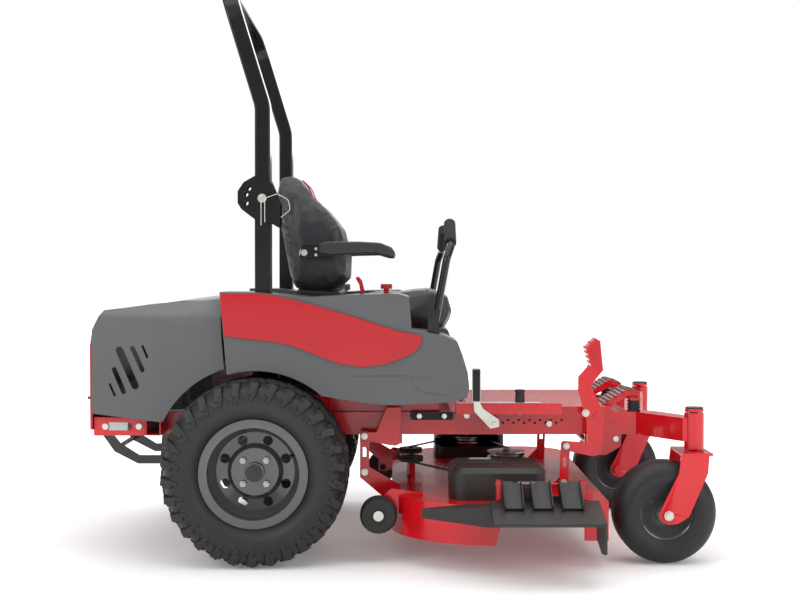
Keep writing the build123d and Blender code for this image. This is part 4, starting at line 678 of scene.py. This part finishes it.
# %% Laying things on a surface
DESIGN_X = -0.660 - cad_box[0][0]
SEAT_BODY = body_of_node["seat_back"]
seat_y = centre("seat_back").y
HALF_SEAT = 0.262


def lifted(outline):
    """Outline points in millimetres ahead of the rear axle and above the ground, in the frame's metres."""
    return [(x * MM - DESIGN_X, z * MM) for x, z in outline]


def tree_of(made):
    """A search tree of a finished mesh, for finding points on it."""
    shape = bmesh.new()
    shape.from_mesh(made.data)
    tree = BVHTree.FromBMesh(shape)
    shape.free()
    return tree


def laid(tree, points, way, lift=0.0008):
    """Points thrown along a direction onto a surface, then raised a little off it."""
    found = []
    for point in points:
        hit, normal = tree.ray_cast(Vector(point), Vector(way))[:2]
        if hit is not None:
            found.append(hit + normal * lift)
    return found


def plate(outline, y0, y1):
    """A flat plate from a side outline between two widths."""
    shape = bmesh.new()
    face = shape.faces.new([shape.verts.new((x, y0, z)) for x, z in lifted(outline)])
    grown = bmesh.ops.extrude_face_region(shape, geom=[face])["geom"]
    moved = [g for g in grown if isinstance(g, bmesh.types.BMVert)]
    bmesh.ops.translate(shape, vec=(0, y1 - y0, 0), verts=moved)
    bmesh.ops.recalc_face_normals(shape, faces=shape.faces)
    return shape


def stud(shape, place, radius, length, turn, sides=20):
    """A short cylinder added to a bmesh."""
    made = bmesh.ops.create_cone(shape, cap_ends=True, segments=sides, radius1=radius, radius2=radius,
                                 depth=length)
    bmesh.ops.transform(shape, verts=made["verts"], matrix=Matrix.Translation(place) @ turn)


ALONG_Y = Matrix.Rotation(math.radians(90), 4, "X")


def edged(made, width, segments=3):
    """Round a piece's edges and keep its flat faces flat."""
    bevel = made.modifiers.new("edge_round", "BEVEL")
    bevel.width = width
    bevel.segments = segments
    bevel.limit_method = "ANGLE"
    bevel.angle_limit = math.radians(32)
    made.modifiers.new("flat_faces", "WEIGHTED_NORMAL").weight = 100
    return made


print("seat centre", round(seat_y, 4))

# %% Backrest
BACK_OUTLINE = [(46, 1276), (90, 1279), (118, 1262), (152, 1192), (210, 1158), (258, 1094), (284, 992),
                (284, 912), (250, 878), (160, 864), (100, 884), (90, 962), (66, 1086), (40, 1226)]
HEAD_FROM, HEAD_RISE = 1.08, 0.21
shape = profile_pad(lifted(BACK_OUTLINE), HALF_SEAT - SWELL_CAP, 0.10)
for vert in shape.verts:
    high = max(0.0, (vert.co.z - HEAD_FROM) / HEAD_RISE)
    vert.co.y *= 1.0 - 0.42 * min(1.0, high) ** 1.6
    bolster = max(0.0, abs(vert.co.y) / HALF_SEAT - 0.45) / 0.55
    front = max(0.0, (vert.co.x + DESIGN_X - 0.12) / 0.16)
    vert.co.x -= 0.030 * (1.0 - min(1.0, bolster * 1.6)) * min(1.0, front)
    vert.co.y += seat_y
backrest = piece("backrest", shape, SEAT_BODY, vinyl)
swollen(backrest)
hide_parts("seat_back")

shell_shape = plate([(110, 754), (262, 754), (262, 874), (110, 884)], seat_y - 0.236, seat_y + 0.236)
edged(piece("seat_shell", shell_shape, SEAT_BODY, black_plastic), 0.012)
studs = bmesh.new()
for name, sign in SIDES:
    middle = Vector((0.140 - DESIGN_X, seat_y + sign * 0.280, 1.005))
    stud(studs, middle, 0.0068, 0.055, ALONG_Y)
piece("armrest_studs", studs, SEAT_BODY, zinc)
print("backrest", len(backrest.data.polygons))

# %% Cushion
CUSHION_OUTLINE = [(318, 742), (320, 846), (344, 862), (470, 858), (580, 878), (632, 862), (646, 802),
                   (622, 744), (560, 738)]
shape = profile_pad(lifted(CUSHION_OUTLINE), HALF_SEAT - 0.016, 0.10)
for vert in shape.verts:
    bolster = max(0.0, abs(vert.co.y) / HALF_SEAT - 0.5) / 0.5
    top = max(0.0, (vert.co.z - 0.80) / 0.08)
    vert.co.z -= 0.016 * (1.0 - min(1.0, bolster * 1.7)) * min(1.0, top)
    vert.co.y += seat_y
cushion = piece("cushion", shape, SEAT_BODY, vinyl)
swollen(cushion)
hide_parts("seat_cushion")
pan_shape = plate([(230, 691), (548, 691), (548, 731), (262, 731), (262, 752), (230, 752)],
                  seat_y - 0.228, seat_y + 0.228)
edged(piece("seat_pan", pan_shape, SEAT_BODY, black_plastic), 0.006)
print("cushion", len(cushion.data.polygons))

# %% [markdown]
# ## Piping and panels
# Every sewn line is thrown onto the pad it belongs to, so it follows the swell of the vinyl.

# %% Piping and panels
back_tree = tree_of(backrest)
cushion_tree = tree_of(cushion)
AHEAD_OF_SEAT = 0.6
ABOVE_SEAT = 1.2
WELT_LIFT = 0.4
LINE_STEPS = 14
INSERT_ROWS, INSERT_COLUMNS = 8, 12


def back_line(name, spots, radius, material):
    """A welt on the front of the backrest through points given as distance from the middle and height."""
    ahead = [(AHEAD_OF_SEAT, seat_y + y, z) for y, z in spots]
    points = laid(back_tree, ahead, (-1, 0, 0), radius * WELT_LIFT)
    return seam(name, points, radius, SEAT_BODY, material)


def top_line(name, spots, radius, material):
    """A welt on the cushion's top through points given as distance ahead and distance from the middle."""
    above = [(x * MM - DESIGN_X, seat_y + y, ABOVE_SEAT) for x, y in spots]
    points = laid(cushion_tree, above, (0, 0, -1), radius * WELT_LIFT)
    return seam(name, points, radius, SEAT_BODY, material)


steps = [i / LINE_STEPS for i in range(LINE_STEPS + 1)]
for name, sign in SIDES:
    back_line("back_panel_" + name, [(sign * (0.105 + 0.02 * t), 0.90 + 0.22 * t) for t in steps],
              0.0022, vinyl)
    back_line("head_piping_" + name, [(sign * (0.112 - 0.022 * t), 1.135 + 0.125 * t) for t in steps],
              0.0034, red_plastic)
    top_line("cushion_panel_" + name, [(340 + 285 * t, sign * 0.125) for t in steps], 0.0022, vinyl)
back_line("back_cross", [(-0.125 + 0.25 * t, 1.122) for t in steps], 0.0024, vinyl)
back_line("back_low_cross", [(-0.105 + 0.21 * t, 0.985) for t in steps], 0.0020, vinyl)
back_line("head_piping_top", [(-0.09 + 0.18 * t, 1.260) for t in steps], 0.0034, red_plastic)
top_line("cushion_cross", [(455, -0.125 + 0.25 * t) for t in steps], 0.0022, vinyl)
top_line("cushion_roll", [(560, -0.215 + 0.43 * t) for t in steps], 0.0026, vinyl)

insert = bmesh.new()
rows = []
for i in range(INSERT_ROWS + 1):
    t = i / INSERT_ROWS
    half = 0.108 - 0.022 * t
    spots = [(AHEAD_OF_SEAT, seat_y - half + 2 * half * j / INSERT_COLUMNS, 1.142 + 0.112 * t)
             for j in range(INSERT_COLUMNS + 1)]
    rows.append([insert.verts.new(p) for p in laid(back_tree, spots, (-1, 0, 0), 0.0012)])
for low, high in zip(rows, rows[1:]):
    for j in range(min(len(low), len(high)) - 1):
        insert.faces.new((low[j], low[j + 1], high[j + 1], high[j]))
piece("head_insert", insert, SEAT_BODY, grey_vinyl)
print("seat trims laid")

# %% Armrests
PAD_OUTLINE = [(186, 1002), (190, 1034), (214, 1043), (330, 1043), (398, 1039), (436, 1024), (449, 1006),
               (444, 990), (424, 991), (388, 1002), (300, 1000), (226, 995)]
BRACKET = [(124, 986), (132, 1036), (196, 1036), (204, 1010), (200, 992), (176, 984)]
for name, sign in SIDES:
    body = body_of_node["armrest_" + name]
    mid_y = seat_y + sign * 0.308
    shape = profile_pad(lifted(PAD_OUTLINE), 0.030, 0.12)
    bmesh.ops.translate(shape, vec=(0, mid_y, 0), verts=shape.verts)
    pad = piece("armrest_pad_" + name, shape, body, vinyl)
    remesh = pad.modifiers.new("even", "REMESH")
    remesh.mode = "VOXEL"
    remesh.voxel_size = 0.0032
    apply_all(pad)
    soften = pad.modifiers.new("soften", "SMOOTH")
    soften.factor, soften.iterations = 0.5, 10
    apply_all(pad)
    pad.data.shade_smooth()
    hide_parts("armrest_" + name)
    inner, outer = mid_y - sign * 0.024, mid_y - sign * 0.006
    edged(piece("armrest_bracket_" + name, plate(BRACKET, inner, outer), body, black_paint),
          0.0018)
    fixings = bmesh.new()
    for x, z, radius, sides in ((0.140, 1.005, 0.011, 24), (0.180, 1.018, 0.006, 6),
                                (0.180, 0.998, 0.006, 6)):
        stud(fixings, Vector((x - DESIGN_X, outer + sign * 0.004, z)), radius, 0.008, ALONG_Y, sides)
    stud(fixings, Vector((0.140 - DESIGN_X, mid_y - sign * 0.034, 1.005)), 0.019, 0.020, ALONG_Y, 24)
    edged(piece("armrest_bolts_" + name, fixings, body, zinc, smooth=False), 0.001, 2)
print("armrests made")

# %% [markdown]
# ## Small trims
# A black knob on the height pin and a sleeve on the lock handle, plain plates where the maker would put
# notices, and raised dots on the footrests and the pedal so that a boot grips.

# %% Knobs and plates
low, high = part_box("height_pin")
knob = bmesh.new()
middle = (low + high) / 2
for z, radius, depth in ((high.z - 0.021, 0.0166, 0.042), (high.z - 0.004, 0.0185, 0.008)):
    made = bmesh.ops.create_cone(knob, cap_ends=True, segments=32, radius1=radius, radius2=radius * 0.86,
                                 depth=depth)
    bmesh.ops.translate(knob, vec=(middle.x, middle.y, z), verts=made["verts"])
edged(piece("height_knob", knob, body_of_node["height_pin"], black_rubber), 0.0025)

low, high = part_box("lock_lever")
sleeve = bmesh.new()
bmesh.ops.create_cube(sleeve, size=1.0)
bmesh.ops.scale(sleeve, vec=(0.0295, 0.0205, 0.112), verts=sleeve.verts)
bmesh.ops.translate(sleeve, vec=(low.x + 0.0142, (low.y + high.y) / 2, high.z - 0.0572), verts=sleeve.verts)
edged(piece("lock_sleeve", sleeve, body_of_node["lock_lever"], black_rubber), 0.005)


def plain_plate(name, corner, size, body, material):
    """A thin blank plate, given its lowest corner and its size."""
    shape = bmesh.new()
    bmesh.ops.create_cube(shape, size=1.0)
    bmesh.ops.scale(shape, vec=size, verts=shape.verts)
    bmesh.ops.translate(shape, vec=Vector(corner) + Vector(size) / 2, verts=shape.verts)
    return edged(piece(name, shape, body, material), 0.0004, 2)


low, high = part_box("height_channel")
plain_plate("height_plate", (low.x + 0.075, low.y + 0.008, high.z), (0.210, 0.036, 0.0012), "chassis",
            label_grey)
low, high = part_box("rear_bumper")
plain_plate("bumper_plate", (low.x + 0.050, low.y - 0.0011, low.z + 0.018), (0.062, 0.0012, 0.026), "chassis",
            label_grey)
print("plates made")

# %% Treads
FOOT_ROWS, FOOT_COLUMNS = 10, 44
PEDAL_PITCH = 0.016


def dotted(name, node, spots, way, radius, material):
    """Raised dots on a node's face, one at each spot thrown onto it."""
    tree = tree_of(frame["nodes"][node])
    dots = bmesh.new()
    for spot in spots:
        hit, normal = tree.ray_cast(Vector(spot), Vector(way))[:2]
        if hit is None:
            continue
        turn = normal.to_track_quat("Z", "Y").to_matrix().to_4x4()
        made = bmesh.ops.create_cone(dots, cap_ends=True, segments=12, radius1=radius, radius2=radius * 0.7,
                                     depth=0.003)
        bmesh.ops.transform(dots, verts=made["verts"], matrix=Matrix.Translation(hit + normal * 0.001) @ turn)
    return piece(name, dots, body_of_node[node], material, smooth=False)


low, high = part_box("footrests")
spots = []
for i in range(FOOT_ROWS):
    for j in range(FOOT_COLUMNS):
        x = low.x + (high.x - low.x) * (0.08 + 0.84 * i / (FOOT_ROWS - 1))
        y = low.y + (high.y - low.y) * (0.02 + 0.96 * (j + 0.5 * (i % 2)) / FOOT_COLUMNS)
        spots.append((x, y, high.z + 0.2))
dotted("footrest_dots", "footrests", spots, (0, 0, -1), 0.0055, tread_grey)
low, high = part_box("lift_pedal")
spots = [(low.x - 0.2, low.y + 0.012 + PEDAL_PITCH * j, high.z - 0.095 + PEDAL_PITCH * i)
         for i in range(6) for j in range(4)]
dotted("pedal_dots", "lift_pedal", spots, (1, 0, 0), 0.0042, red_paint)
print("treads made")

# %% Deflector ribs and spring
COILS = 14
COIL_POINTS = 10
COIL_RADIUS = 0.0085
RIB_SHEET = 4
deck_y = centre("main_frame").y
fin = [(-0.745, 0.288), (-0.772, 0.300), (-0.874, 0.238), (-0.868, 0.220), (-0.790, 0.236), (-0.752, 0.262)]
web = [(-0.752, 0.286), (-0.756, 0.290), (-0.862, 0.228), (-0.858, 0.222)]
ribs = bmesh.new()


def across(shape, profile, x0, x1):
    """Extrude a front-view outline between two distances ahead of the rear axle."""
    face = shape.faces.new([shape.verts.new((x0 * MM - DESIGN_X, y + deck_y, z)) for y, z in profile])
    grown = bmesh.ops.extrude_face_region(shape, geom=[face])["geom"]
    moved = [g for g in grown if isinstance(g, bmesh.types.BMVert)]
    bmesh.ops.translate(shape, vec=((x1 - x0) * MM, 0, 0), verts=moved)


for x0, x1 in ((780, 840), (866, 928), (954, 1020)):
    across(ribs, fin, x0, x0 + RIB_SHEET)
    across(ribs, fin, x1 - RIB_SHEET, x1)
    across(ribs, web, x0 + RIB_SHEET, x1 - RIB_SHEET)
bmesh.ops.recalc_face_normals(ribs, faces=ribs.faces)
edged(piece("deflector_ribs", ribs, body_of_node["deflector"], black_plastic), 0.0012, 2)
low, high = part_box("deflector")
spring = []
rod_y, rod_z = -0.742 + deck_y, 0.282
for i in range(COILS * COIL_POINTS + 1):
    turn = i * math.tau / COIL_POINTS
    along = low.x + 0.30 + 0.055 * i / (COILS * COIL_POINTS)
    spring.append((along, rod_y + COIL_RADIUS * math.cos(turn), rod_z + COIL_RADIUS * math.sin(turn)))
seam("deflector_spring", spring, 0.0014, body_of_node["deck_shell"], steel)
print("spring coils", COILS)

# %% [markdown]
# ## Fixings
# Plated bolt heads, blank caps and the row of setting holes are what the eye reads as machinery. Each
# head is thrown onto the face it clamps, so it sits flat on the metal and rides with it.

# %% Bolt heads and caps
CLEAR_OF_SIDE = 1.2
WHEEL_BOLT = (0.0115, 0.008)
ROLLER_BOLT = (0.0125, 0.002)
STRAP_BOLT = (0.009, 0.006)
ARM_BOLT = (0.0085, 0.006)
PEDAL_BOLT = (0.0095, 0.007)
KINGPIN_AHEAD, KINGPIN_OUT = 1.420, 0.525
SETTING_HOLES, HOLE_PITCH = 12, 18


def heads(name, node, spots, way, radius, depth, material, slot, sides=6):
    """Bolt heads on a node's face, one at each spot thrown onto it."""
    tree = tree_of(frame["nodes"][node])
    shape = bmesh.new()
    for spot in spots:
        hit = tree.ray_cast(Vector(spot), Vector(way))[0]
        if hit is None:
            continue
        turn = Vector(way).to_track_quat("Z", "Y").to_matrix().to_4x4()
        stud(shape, hit - Vector(way) * (depth / 2 - 0.0003), radius, depth, turn, sides)
        stud(shape, hit - Vector(way) * 0.0007, radius * 1.35, 0.0022, turn, 24)
    return edged(piece(name, shape, body_of_node[node], material, smooth=False), 0.0009, 2)


for name, sign in SIDES:
    way = (0, -sign, 0)
    far = deck_y + sign * CLEAR_OF_SIDE
    fork_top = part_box("caster_fork_" + name)[1].z
    wheel = centre("caster_rim_" + name)
    heads("fork_bolt_" + name, "caster_fork_" + name, [(wheel.x, far, wheel.z)], way, *WHEEL_BOLT, zinc,
          "zinc")
    kingpin = Vector((KINGPIN_AHEAD - DESIGN_X, deck_y + sign * KINGPIN_OUT, fork_top + 0.0015))
    cap = bmesh.new()
    stud(cap, kingpin, 0.029, 0.006, Matrix.Identity(4), 40)
    edged(piece("kingpin_cap_" + name, cap, body_of_node["caster_fork_" + name], black_plastic), 0.002)
    middle = centre("roller_" + name)
    heads("roller_bolt_" + name, "roller_" + name, [(middle.x, middle.y + sign * 0.3, middle.z)], way,
          *ROLLER_BOLT, zinc, "zinc")
    strap_spots = [(x * MM - DESIGN_X, far, z * MM) for x, z in ((1011, 236), (347, 272))]
    heads("strap_bolts_" + name, "hanger_straps", strap_spots, way, *STRAP_BOLT, zinc, "zinc")
    heads("front_arm_bolts_" + name, "lift_pedal", [(1018 * MM - DESIGN_X, far, 0.361)], way,
          *ARM_BOLT, zinc, "zinc")
    heads("rear_arm_bolts_" + name, "rear_cranks", [(346.6 * MM - DESIGN_X, far, 0.394)], way,
          *ARM_BOLT, zinc, "zinc")
heads("pedal_bolt", "lift_pedal", [(1083 * MM - DESIGN_X, deck_y - CLEAR_OF_SIDE, 0.470)], (0, 1, 0),
      *PEDAL_BOLT, zinc, "zinc")

hole_spots = [((812 + HOLE_PITCH * i) * MM - DESIGN_X, deck_y - CLEAR_OF_SIDE, 0.431 + 0.010 * (i % 2))
              for i in range(SETTING_HOLES)]
# The setting holes are flat black discs on the rail: painted shade standing for the dark inside each hole.
holes = bmesh.new()
rail_tree = tree_of(frame["nodes"]["main_frame"])
for place in laid(rail_tree, hole_spots, (0, 1, 0), 0.0002):
    stud(holes, place, 0.0044, 0.0008, ALONG_Y, 20)
piece("setting_holes", holes, "chassis", black_rubber)
print("fixings made")

# %% Creases in the consoles
for name, sign in SIDES:
    node = "pod_" + name
    console = tree_of(finished[node])
    for index, line in enumerate((((305, 607), (420, 608), (503, 606), (560, 600)),
                                  ((500, 598), (512, 578), (523, 559), (570, 550), (612, 545)))):
        thrown = [(x * MM - DESIGN_X, deck_y + sign * CLEAR_OF_SIDE, z * MM) for x, z in line]
        points = laid(console, thrown, (0, -sign, 0), 0.0002)
        seam(f"{node}_crease_{index}", points, 0.0018, body_of_node[node], grey_plastic)
print("creases laid")

# %% Belt cover panels
cover_tree = tree_of(frame["nodes"]["belt_covers"])
SPINDLE_AHEAD = 728
ABOVE_DECK = 0.6
for name, across_y in (("right", -0.462), ("left", 0.490)):
    above = (SPINDLE_AHEAD * MM - DESIGN_X, deck_y + across_y, ABOVE_DECK)
    found = laid(cover_tree, [above], (0, 0, -1), 0.0)
    if not found:
        continue
    top = found[0]
    panel = bmesh.new()
    for wide, deep, tall in ((0.150, 0.110, 0.010), (0.100, 0.064, 0.018)):
        made = bmesh.ops.create_cube(panel, size=1.0)
        bmesh.ops.scale(panel, vec=(wide, deep, tall), verts=made["verts"])
        bmesh.ops.translate(panel, vec=top, verts=made["verts"])
    edged(piece("cover_panel_" + name, panel, body_of_node["belt_covers"], shroud_plastic),
          0.004)
    plain_plate("cover_plate_" + name, (top.x - 0.035, top.y - 0.014, top.z + 0.009), (0.070, 0.028, 0.001),
                body_of_node["belt_covers"], label_grey)
print("cover panels made")
